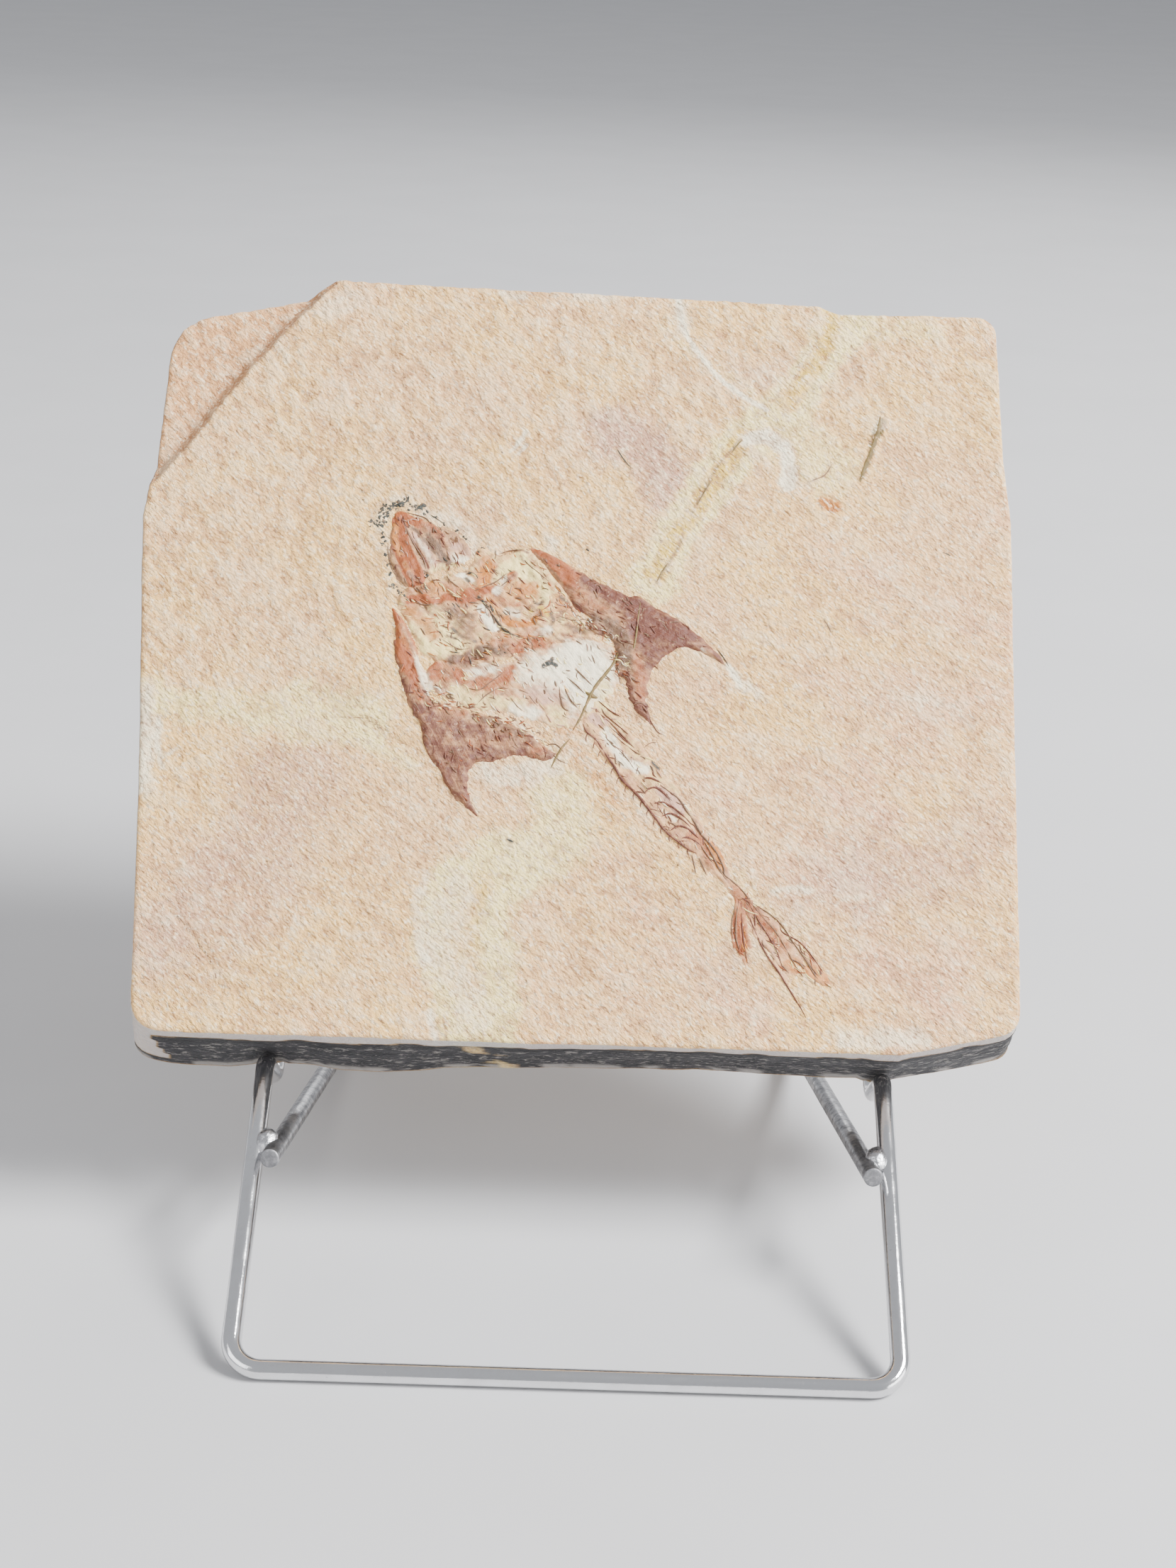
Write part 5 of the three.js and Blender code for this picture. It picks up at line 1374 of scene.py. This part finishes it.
# Crumbled strips where the cheek plates meet the skull and belly.
RIGHT_SEAM = [(-7, 81.6), (-3.4, 78.6), (-1, 76.4), (1.6, 74.6), (5.4, 72.4), (7.6, 68.6), (8, 64.4),
              (6, 60.6), (4.4, 63.6), (3.6, 67), (3.6, 70), (0.6, 72), (-3, 74.4), (-6.4, 78.6)]
LEFT_SEAM = [(-29.4, 64), (-26.4, 61.4), (-21, 59.4), (-15, 57.8), (-9.6, 55.4), (-5.4, 51.2),
             (-8.4, 51), (-13, 53), (-18.6, 55), (-24.6, 56.4), (-29, 58.4), (-30.2, 61.6)]
# Zones of broken bone: outline, number of splinters, length, direction in degrees, and the
# pigments that are drawn from, where a common one is named more than once.
SPLINTER_ZONES = [
    (SKULL, 420, 2.2, -36, "umber cream umber clay lilac ink umber cream ochre umber rust"),
    (SNOUT, 110, 2, -62, "rust umber rust lilac umber"),
    (BELLY, 150, 2.2, -46, "cream umber pale lilac umber pale"),
    (LEFT_CHEEK, 120, 2.2, -58, "rust umber rust clay"),
    (RIGHT_CHEEK, 110, 2.2, -34, "rust rust umber"),
    (TRUNK, 130, 2.2, -50, "rust pale umber cream lilac umber"),
    (TAIL_UPPER, 60, 3.2, -50, "rust clay umber cream"),
    (TAIL_LOWER, 26, 2.2, -84, "rust clay ochre"),
    (RIGHT_SEAM, 150, 1.9, -42, "cream umber clay pale umber"),
    (LEFT_SEAM, 130, 1.9, -24, "rust umber clay cream umber"),
]


def splinters(seed=5):
    """Short bent splinters scattered inside each zone and turned roughly its way."""
    random = np.random.default_rng(seed)
    found = []
    for outline, count, reach, angle, pigments in SPLINTER_ZONES:
        outline, pigments = np.array(outline, float), pigments.split()
        middles = random.uniform(outline.min(0), outline.max(0), (count * 5, 2))
        middles = middles[depth_inside(middles, outline) > 0.35][:count]
        for middle in middles:
            turn = math.radians(angle + random.normal(0, 26))
            ahead = heading(turn) * reach * random.uniform(0.15, 0.5)
            bend = middle + random.normal(0, 0.14, 2)
            pigment = pigments[random.integers(len(pigments))]
            found.append(((pigment,), random.uniform(0.1, 0.32), random.uniform(0.07, 0.2),
                          [middle - ahead, bend, middle + ahead]))
    return found


def spine_ticks():
    """Short processes that stand off the backbone, longer towards the head."""
    line = resampled(spline(BACKBONE, 6), SPINE_TICKS + 1)[1:-1]
    ticks = []
    for number, (at, ahead, aside) in enumerate(zip(line, *ahead_and_aside(line))):
        reach = 1.5 - 0.05 * number
        ticks.append(("rust", 0.2, 0.2, [at, at + aside * reach * 0.5 + ahead * 0.3,
                                         at + aside * reach + ahead * 0.9]))
        if number % 2:
            ticks.append(("rust", 0.2, 0.2, [at, at - aside * 0.5 + ahead * 0.4,
                                             at - aside * 1.1 + ahead * 1.2]))
    return ticks


# ---- Dendrites: dark mineral grown in branches round the snout ----

SNOUT_MIDDLE = np.array([-29.5, 88.0])
# Tufts: where each starts, how far it spreads, and how many twigs it has.
TUFTS = [
    ((-33.6, 96.2), 0.9, 7), ((-35, 96), 0.8, 7), ((-35.7, 95.2), 0.9, 8), ((-36.9, 95.4), 0.5, 4),
    ((-37.3, 94.4), 0.6, 5), ((-36.4, 93.7), 0.6, 6), ((-37.9, 92.4), 0.7, 6),
    ((-38.8, 92.2), 0.6, 5), ((-37.2, 91.3), 0.6, 5), ((-36.6, 92.4), 0.6, 4),
    ((-34.3, 95.3), 0.6, 6), ((-32.4, 95.3), 0.6, 4), ((-31.1, 95.3), 0.7, 7),
    ((-30.2, 95.7), 0.6, 6), ((-29.5, 94.4), 0.45, 5), ((-28, 93.5), 0.35, 3),
    ((-26.2, 92.3), 0.35, 3), ((-24, 91.3), 0.35, 3), ((-22.4, 89.7), 0.35, 3),
    ((-19.2, 87.9), 0.45, 6), ((-20.3, 86.8), 0.4, 4), ((-37, 89.5), 0.4, 4),
    ((-36.6, 88.2), 0.5, 5), ((-36.2, 86.2), 0.35, 4), ((-35.7, 84.2), 0.35, 4),
    ((-35.2, 82.3), 0.45, 4), ((-34.4, 80.3), 0.55, 6), ((-33.4, 79.2), 0.6, 6),
    ((-32.8, 78.4), 0.5, 5), ((-29, 82.4), 0.35, 4), ((-28.8, 80), 0.4, 3),
]


def dendrite_needles(seed=12):
    """Each tuft as twigs that fan out away from the snout, each with a fork near its end."""
    random = np.random.default_rng(seed)
    found = []
    for start, spread, count in TUFTS:
        start = np.array(start)
        away = math.atan2(*(start - SNOUT_MIDDLE)[::-1])
        for number in range(count):
            turn = away + math.radians(random.uniform(-110, 110))
            reach = spread * random.uniform(0.5, 1.5)
            ahead = heading(turn) * reach
            foot = start + random.normal(0, 0.35 * spread, 2)
            middle = foot + ahead * 0.5 + random.normal(0, 0.1, 2)
            colour = ("ink",) if number % 3 else ("pale", "ink")
            found.append((colour, random.uniform(0.28, 0.6), 0.12, [foot, middle, foot + ahead]))
            turn += math.radians(random.choice((-55, 55)))
            fork = heading(turn) * reach * 0.6
            found.append((colour, random.uniform(0.2, 0.4), 0.1,
                          [middle, middle + fork * 0.5, middle + fork]))
    return found


# ---- The stand ----

# A cut end from its middle outwards: share of the wire's radius, rise past the line's end.
CUT_END = [(0.0, 0.12), (0.45, 0.05), (0.8, 0.0), (0.95, -0.06), (1.0, -0.25)]
BEAD_PROUD = 1.5  # how far a weld bead's middle stands out from the legs
BEAD_SIZE = np.array([1.9, 2.5, 1.55])  # its half sizes across, up the leg and out of it
BEAD_ROWS, BEAD_COLUMNS = 20, 32


def bent_wire(corners, bend_step=6):
    """A wire's centre line: straight runs joined by round bends, as points and unit tangents.

    corners are (point, bend radius); a bend of radius r that turns by an angle a starts
    r tan(a / 2) before its corner.
    """
    points, tangents = [], []
    for number, (corner, radius) in enumerate(corners):
        if radius == 0:
            ahead = corners[1][0] - corner if number == 0 else corner - corners[-2][0]
            points.append(corner)
            tangents.append(ahead / np.linalg.norm(ahead))
            continue
        into = corner - corners[number - 1][0]
        into = into / np.linalg.norm(into)
        out = corners[number + 1][0] - corner
        out = out / np.linalg.norm(out)
        turn = math.acos(float(into @ out))
        normal = np.cross(into, out) / math.sin(turn)
        start = corner - into * radius * math.tan(turn / 2)
        outward = np.cross(into, normal)
        centre = start - outward * radius
        for angle in np.linspace(0, turn, max(3, round(math.degrees(turn) / bend_step))):
            points.append(centre + radius * (outward * math.cos(angle) + into * math.sin(angle)))
            tangents.append(into * math.cos(angle) - outward * math.sin(angle))
    return np.array(points), np.array(tangents)


def front_wire_line():
    """The front wire: right back rest, seat and leg mirrored from the left, and the front bar."""
    seat_depth = SLAB_THICKNESS - SLAB_OVERHANG + CLEARANCE + WIRE_RADIUS
    seat_back = SEAT_FRONT - BED_OUT * seat_depth
    arm_top = seat_back + BED_UP * ARM_LENGTH
    half = ACROSS * STAND_WIDTH / 2
    left = [(arm_top - half, 0), (seat_back - half, SEAT_BEND), (SEAT_FRONT - half, SEAT_BEND),
            (FOOT - half, FOOT_BEND)]
    right = [(point + 2 * half, radius) for point, radius in left[::-1]]
    return bent_wire(left + right)


def rear_wire_end(side):
    """Where the rear wire is cut off beside a front leg, side -1 on the left or 1 on the right."""
    end = FOOT + LEG_UP * REAR_END_ALONG_LEG + LEG_OUT * REAR_END_PROUD
    return end + ACROSS * side * (STAND_WIDTH / 2 - REAR_END_INSET)


def rear_wire_corner(side):
    """Where a rear leg and the rear bar would meet if the wire were not bent round."""
    return FOOT + np.array([side * REAR_WIDTH / 2, REAR_REACH, 0])


def rear_wire_line():
    return bent_wire([(rear_wire_end(-1), 0), (rear_wire_corner(-1), FOOT_BEND),
                      (rear_wire_corner(1), FOOT_BEND), (rear_wire_end(1), 0)])


def wire_surface(points, tangents, sides, shaded_rear_wire):
    """A round wire along a centre line, closed by slightly domed, burred cut ends.

    Circles stand square to the line; each one's zero direction is carried on from the last
    without twisting.
    """
    reach = np.concatenate(([0], np.cumsum(np.linalg.norm(np.diff(points, axis=0), axis=1))))
    stations = [(points[0] - tangents[0] * rise, tangents[0], share, reach[0])
                for share, rise in CUT_END[1:]]
    stations += [(p, t, 1.0, r) for p, t, r in zip(points[1:-1], tangents[1:-1], reach[1:-1])]
    stations += [(points[-1] + tangents[-1] * rise, tangents[-1], share, reach[-1])
                 for share, rise in CUT_END[:0:-1]]
    zero = np.cross(tangents[0], [0.31, 0.17, 0.93])
    angle = np.arange(sides) * 2 * np.pi / sides
    rings, run = [], []
    for at, tangent, share, along in stations:
        zero = zero - tangent * (zero @ tangent)
        zero /= np.linalg.norm(zero)
        spoke = np.outer(np.cos(angle), zero) + np.outer(np.sin(angle), np.cross(tangent, zero))
        rings.append(at + spoke * WIRE_RADIUS * share)
        run.append(np.column_stack((np.full(sides, along), np.cos(angle), np.sin(angle))))
    number = np.arange(len(rings) * sides).reshape(-1, sides)
    dome = CUT_END[0][1]
    tips = np.stack((points[0] - tangents[0] * dome, points[-1] + tangents[-1] * dome))
    cut = np.zeros(number.shape)
    cut[:3], cut[-3:] = 1, 1
    vertices = np.vstack((np.concatenate(rings), tips))
    # The last field marks the rear wire, which the chrome darkens with painted shade
    fields = {"run": np.vstack((np.concatenate(run), [[reach[0], 0, 0], [reach[-1], 0, 0]])),
              "cut": np.concatenate((cut.ravel(), [1, 1])),
              "shaded_rear_wire": np.full(len(vertices), float(shaded_rear_wire))}
    return vertices * MM, tube_faces(number, mirrored=True), fields


# Tones of the plating, as the linear values that shaders use.
HAZE, PLATING_SPOT = (0.58, 0.57, 0.57), (0.36, 0.34, 0.33)
# The rear wire's dark grey is painted shade, as if it lay in shadow
CUT_STEEL, REAR_WIRE_SHADE = (0.16, 0.16, 0.17), (0.2, 0.2, 0.21)
WELD_SHADE = (0.4, 0.4, 0.42)


def chrome_material(stand):
    """Bright plating with faint draw lines along the wire, haze, duller cut ends, and painted shade on
    the rear wire.
    """
    nodes = Nodes("chrome")
    run = nodes.field("run", "Vector")
    lines = nodes.noise(nodes.turned(run, 0, (0.05, 6, 6)), 1, 3, 0.6)
    haze = nodes.noise(nodes.object_mm(), 5, 4, 0.6)
    spots = nodes.span(nodes.noise(nodes.object_mm(), 0.9, 4, 0.7), 0.62, 0.72)
    cut = nodes.field("cut")
    colour = nodes.mix(nodes.span(haze, 0.35, 0.7, 0, 0.35), stand.chrome, HAZE)
    colour = nodes.mix(nodes.times(spots, 0.25), colour, PLATING_SPOT)
    sawn = nodes.noise(nodes.object_mm(), 0.5, 4, 0.7)
    colour = nodes.mix(nodes.times(cut, nodes.span(sawn, 0.3, 0.7, 0.35, 0.85)), colour, CUT_STEEL)
    patches = nodes.noise(nodes.object_mm(), 1.6, 5, 0.7)
    # Painted shade: the rear wire darkened in patches, and made rougher
    shaded_rear_wire = nodes.times(nodes.field("shaded_rear_wire"), nodes.span(patches, 0.35, 0.65, 0.45, 0.95))
    colour = nodes.mix(shaded_rear_wire, colour, REAR_WIRE_SHADE)
    rough = nodes.plus(nodes.span(haze, 0.3, 0.75, 0.09, 0.22), nodes.times(cut, 0.25))
    rough = nodes.plus(rough, nodes.times(shaded_rear_wire, 0.3))
    rough = nodes.plus(rough, nodes.times(spots, 0.12))
    bump = nodes.bump(lines, 0.03, 0.5)
    bump = nodes.bump(nodes.noise(nodes.object_mm(), 0.45, 3, 0.6), 0.05, 0.35, bump)
    return nodes.finish(Base_Color=colour, Roughness=rough, Normal=bump, Metallic=1.0)


def weld_material(stand):
    """Plated weld metal, lumpy and half bright."""
    nodes = Nodes("weld_metal")
    place = nodes.object_mm()
    lumps = nodes.noise(place, 0.8, 4, 0.65)
    colour = nodes.mix(nodes.span(lumps, 0.35, 0.7), stand.weld, WELD_SHADE)
    rough = nodes.span(lumps, 0.3, 0.75, 0.18, 0.45)
    bump = nodes.bump(lumps, 0.25, 0.6)
    return nodes.finish(Base_Color=colour, Roughness=rough, Normal=bump, Metallic=1.0)


def weld_bead(side, material):
    """A lump in the crook of the two wires: a sphere, pressed into an ellipsoid and dented by noise."""
    end = rear_wire_end(side)
    along = rear_wire_corner(side) - end
    along /= np.linalg.norm(along)
    centre = end + along * WELD_ALONG_REAR + ACROSS * side * WIRE_RADIUS + LEG_OUT * BEAD_PROUD
    polar = np.linspace(0, np.pi, BEAD_ROWS + 1)[1:-1, None]
    around = (np.arange(BEAD_COLUMNS) * 2 * np.pi / BEAD_COLUMNS)[None]
    ball = np.stack((np.sin(polar) * np.cos(around), np.sin(polar) * np.sin(around),
                     np.cos(polar) * np.ones_like(around)), -1).reshape(-1, 3)
    ball = np.vstack((ball, [[0, 0, 1], [0, 0, -1]]))
    ball *= 1 + 0.22 * noise(ball + 5 * side, 0.9, 3, 95)[:, None]
    points = centre + ball * BEAD_SIZE @ np.stack((ACROSS, LEG_UP, LEG_OUT))
    rings = np.arange(BEAD_COLUMNS * (BEAD_ROWS - 1)).reshape(-1, BEAD_COLUMNS)
    node = WELD_NODES[side]
    make_piece(f"{node}_bead", points * MM, tube_faces(rings), material, [node])


# ---- Stage: floor, lights and camera ----

CAMERA_PLACE = (-0.000360, -0.378333, 0.224668)  # metres
CAMERA_DOWN, CAMERA_TURN, CAMERA_ROLL = 22.0, 0.393, 2.02  # degrees
FLOOR_REACH = 14.0  # metres from the middle to the floor's edge


def make_camera(stage):
    """A camera that looks down on the slab, turned a little to its right and rolled."""
    camera = bpy.data.objects.new("Camera", bpy.data.cameras.new("Camera"))
    bpy.context.scene.collection.objects.link(camera)
    camera.data.lens = stage.lens
    camera.data.sensor_width = 36
    camera.data.clip_start = 0.01
    camera.location = CAMERA_PLACE
    look = Matrix.Rotation(math.radians(-CAMERA_TURN), 4, "Z")
    look = look @ Matrix.Rotation(math.radians(90 - CAMERA_DOWN), 4, "X")
    look = look @ Matrix.Rotation(math.radians(CAMERA_ROLL), 4, "Z")
    camera.matrix_world = Matrix.Translation(CAMERA_PLACE) @ look
    bpy.context.scene.camera = camera


def make_light(name, power, size, place, target):
    light = bpy.data.lights.new(name, "AREA")
    light.energy = power
    light.shape = "RECTANGLE"
    light.size, light.size_y = size
    lamp = bpy.data.objects.new(name, light)
    lamp.location = place
    aim = Vector(target) - Vector(place)
    lamp.rotation_euler = aim.to_track_quat("-Z", "Y").to_euler()
    bpy.context.scene.collection.objects.link(lamp)


def make_floor(stage):
    """A wide pale floor, a flat grid whose far edge is out of sight."""
    line = np.linspace(-FLOOR_REACH, FLOOR_REACH, 5)
    x, y = np.meshgrid(line, line)
    points = np.column_stack((x.ravel(), y.ravel(), np.zeros(x.size)))
    mesh = bpy.data.meshes.new("floor")
    mesh.from_pydata(points.tolist(), [], grid_faces(5, 5).tolist())
    nodes = Nodes("floor")
    dust = nodes.span(nodes.noise(nodes.object_mm(), 60, 3), 0.3, 0.7)
    pale = tuple(stage.floor)
    colour = nodes.mix(dust, pale, tuple(c * 0.97 for c in pale))
    mesh.materials.append(nodes.finish(Base_Color=colour, Roughness=0.75))
    floor = bpy.data.objects.new("floor", mesh)
    bpy.context.scene.collection.objects.link(floor)


def make_world(stage):
    world = bpy.data.worlds.new("surround")
    world.use_nodes = True
    background = world.node_tree.nodes["Background"]
    background.inputs["Color"].default_value = (0.93, 0.95, 1.0, 1)
    background.inputs["Strength"].default_value = stage.world
    bpy.context.scene.world = world


# ---- Operators ----


def built_bone():
    """The bone material, which the plates' operator makes and the finer pieces share."""
    material = bpy.data.materials.get("fossil_bone")
    if material is None:
        raise RuntimeError("build the bone plates first: finer pieces share their material")
    return material


class FOSSIL_OT_slab(bpy.types.Operator):
    """Build the limestone slab in place of its CAD solid"""

    bl_idname = "fossil.slab"
    bl_label = "Limestone Slab"

    def execute(self, context):
        build_slab(context.scene.fossil_stone, context.scene.fossil_pigments)
        return {"FINISHED"}


class FOSSIL_OT_plates(bpy.types.Operator):
    """Build the fish's bone plates, trunk and tail"""

    bl_idname = "fossil.plates"
    bl_label = "Bone Plates"

    def execute(self, context):
        material = bone_material(context.scene.fossil_pigments)
        for plate in PLATES:
            build_plate(*plate, context.scene.fossil_stone, material)
        return {"FINISHED"}


class FOSSIL_OT_fine_bones(bpy.types.Operator):
    """Build the backbone, ribs, rays and other fine bones"""

    bl_idname = "fossil.fine_bones"
    bl_label = "Fine Bones"

    def execute(self, context):
        stone, material = context.scene.fossil_stone, built_bone()
        bones = [((pigment,), *shape) for pigment, *shape in NEEDLES + spine_ticks()]
        build_needles("fish_fine_bones", bones, stone, material)
        build_needles("fish_splinters", splinters(), stone, material, *LIGHT_NEEDLE)
        return {"FINISHED"}


class FOSSIL_OT_dendrites(bpy.types.Operator):
    """Grow the dark mineral tufts round the snout"""

    bl_idname = "fossil.dendrites"
    bl_label = "Dendrites"

    def execute(self, context):
        stone = context.scene.fossil_stone
        build_needles("dendrites", dendrite_needles(), stone, built_bone(), *LIGHT_NEEDLE)
        return {"FINISHED"}


class FOSSIL_OT_stand(bpy.types.Operator):
    """Build the two bent wires of the stand and their weld beads"""

    bl_idname = "fossil.stand"
    bl_label = "Wire Stand"

    def execute(self, context):
        stand = context.scene.fossil_stand
        chrome = chrome_material(stand)
        for node, line in ((FRONT_NODE, front_wire_line()), (REAR_NODE, rear_wire_line())):
            points, faces, fields = wire_surface(*line, stand.wire_sides, node == REAR_NODE)
            make_piece(f"{node}_bent", points, faces, chrome, [node], fields)
        weld = weld_material(stand)
        for side in WELD_NODES:
            weld_bead(side, weld)
        return {"FINISHED"}


class FOSSIL_OT_stage(bpy.types.Operator):
    """Set the pale floor, the soft lights and the camera"""

    bl_idname = "fossil.stage"
    bl_label = "Stage"

    def execute(self, context):
        stage = context.scene.fossil_stage
        make_camera(stage)
        make_floor(stage)
        make_world(stage)
        middle = (0, 0.02, 0.08)
        make_light("key", stage.key_power, (0.6, 0.5), (1.0, -0.35, 1.15), middle)
        make_light("fill", stage.fill_power, (1.2, 0.9), (-1.1, -0.9, 0.8), middle)
        make_light("back", stage.fill_power, (1.0, 0.6), (0.3, 1.2, 0.9), middle)
        make_light("low", 0.5 * stage.fill_power, (0.8, 0.4), (0.9, -0.5, 0.24), middle)
        return {"FINISHED"}


SETTINGS = {
    "fossil_stone": FossilStoneSettings,
    "fossil_pigments": FossilPigmentSettings,
    "fossil_stand": FossilStandSettings,
    "fossil_stage": FossilStageSettings,
}
OPERATORS = (
    FOSSIL_OT_stage, FOSSIL_OT_slab, FOSSIL_OT_plates, FOSSIL_OT_fine_bones, FOSSIL_OT_dendrites,
    FOSSIL_OT_stand,
)


class FOSSIL_PT_panel(bpy.types.Panel):
    """Lists the pieces and the settings they are built from"""

    bl_label = "Fossil Fish Slab"
    bl_space_type = "VIEW_3D"
    bl_region_type = "UI"
    bl_category = "Fossil"

    def draw(self, context):
        for operator in OPERATORS:
            self.layout.operator(operator.bl_idname)
        for name, group in SETTINGS.items():
            box = self.layout.box()
            for key in group.__annotations__:
                box.prop(getattr(context.scene, name), key)


CLASSES = (*SETTINGS.values(), *OPERATORS, FOSSIL_PT_panel)


def register():
    for one in CLASSES:
        bpy.utils.register_class(one)
    for name, group in SETTINGS.items():
        setattr(bpy.types.Scene, name, bpy.props.PointerProperty(type=group))


def unregister():
    for name in SETTINGS:
        delattr(bpy.types.Scene, name)
    for one in reversed(CLASSES):
        bpy.utils.unregister_class(one)


def main():
    register()
    bpy.ops.fossil.stage()
    bpy.ops.fossil.slab()
    bpy.ops.fossil.plates()
    bpy.ops.fossil.fine_bones()
    bpy.ops.fossil.dendrites()
    bpy.ops.fossil.stand()


if __name__ == "__main__":
    main()
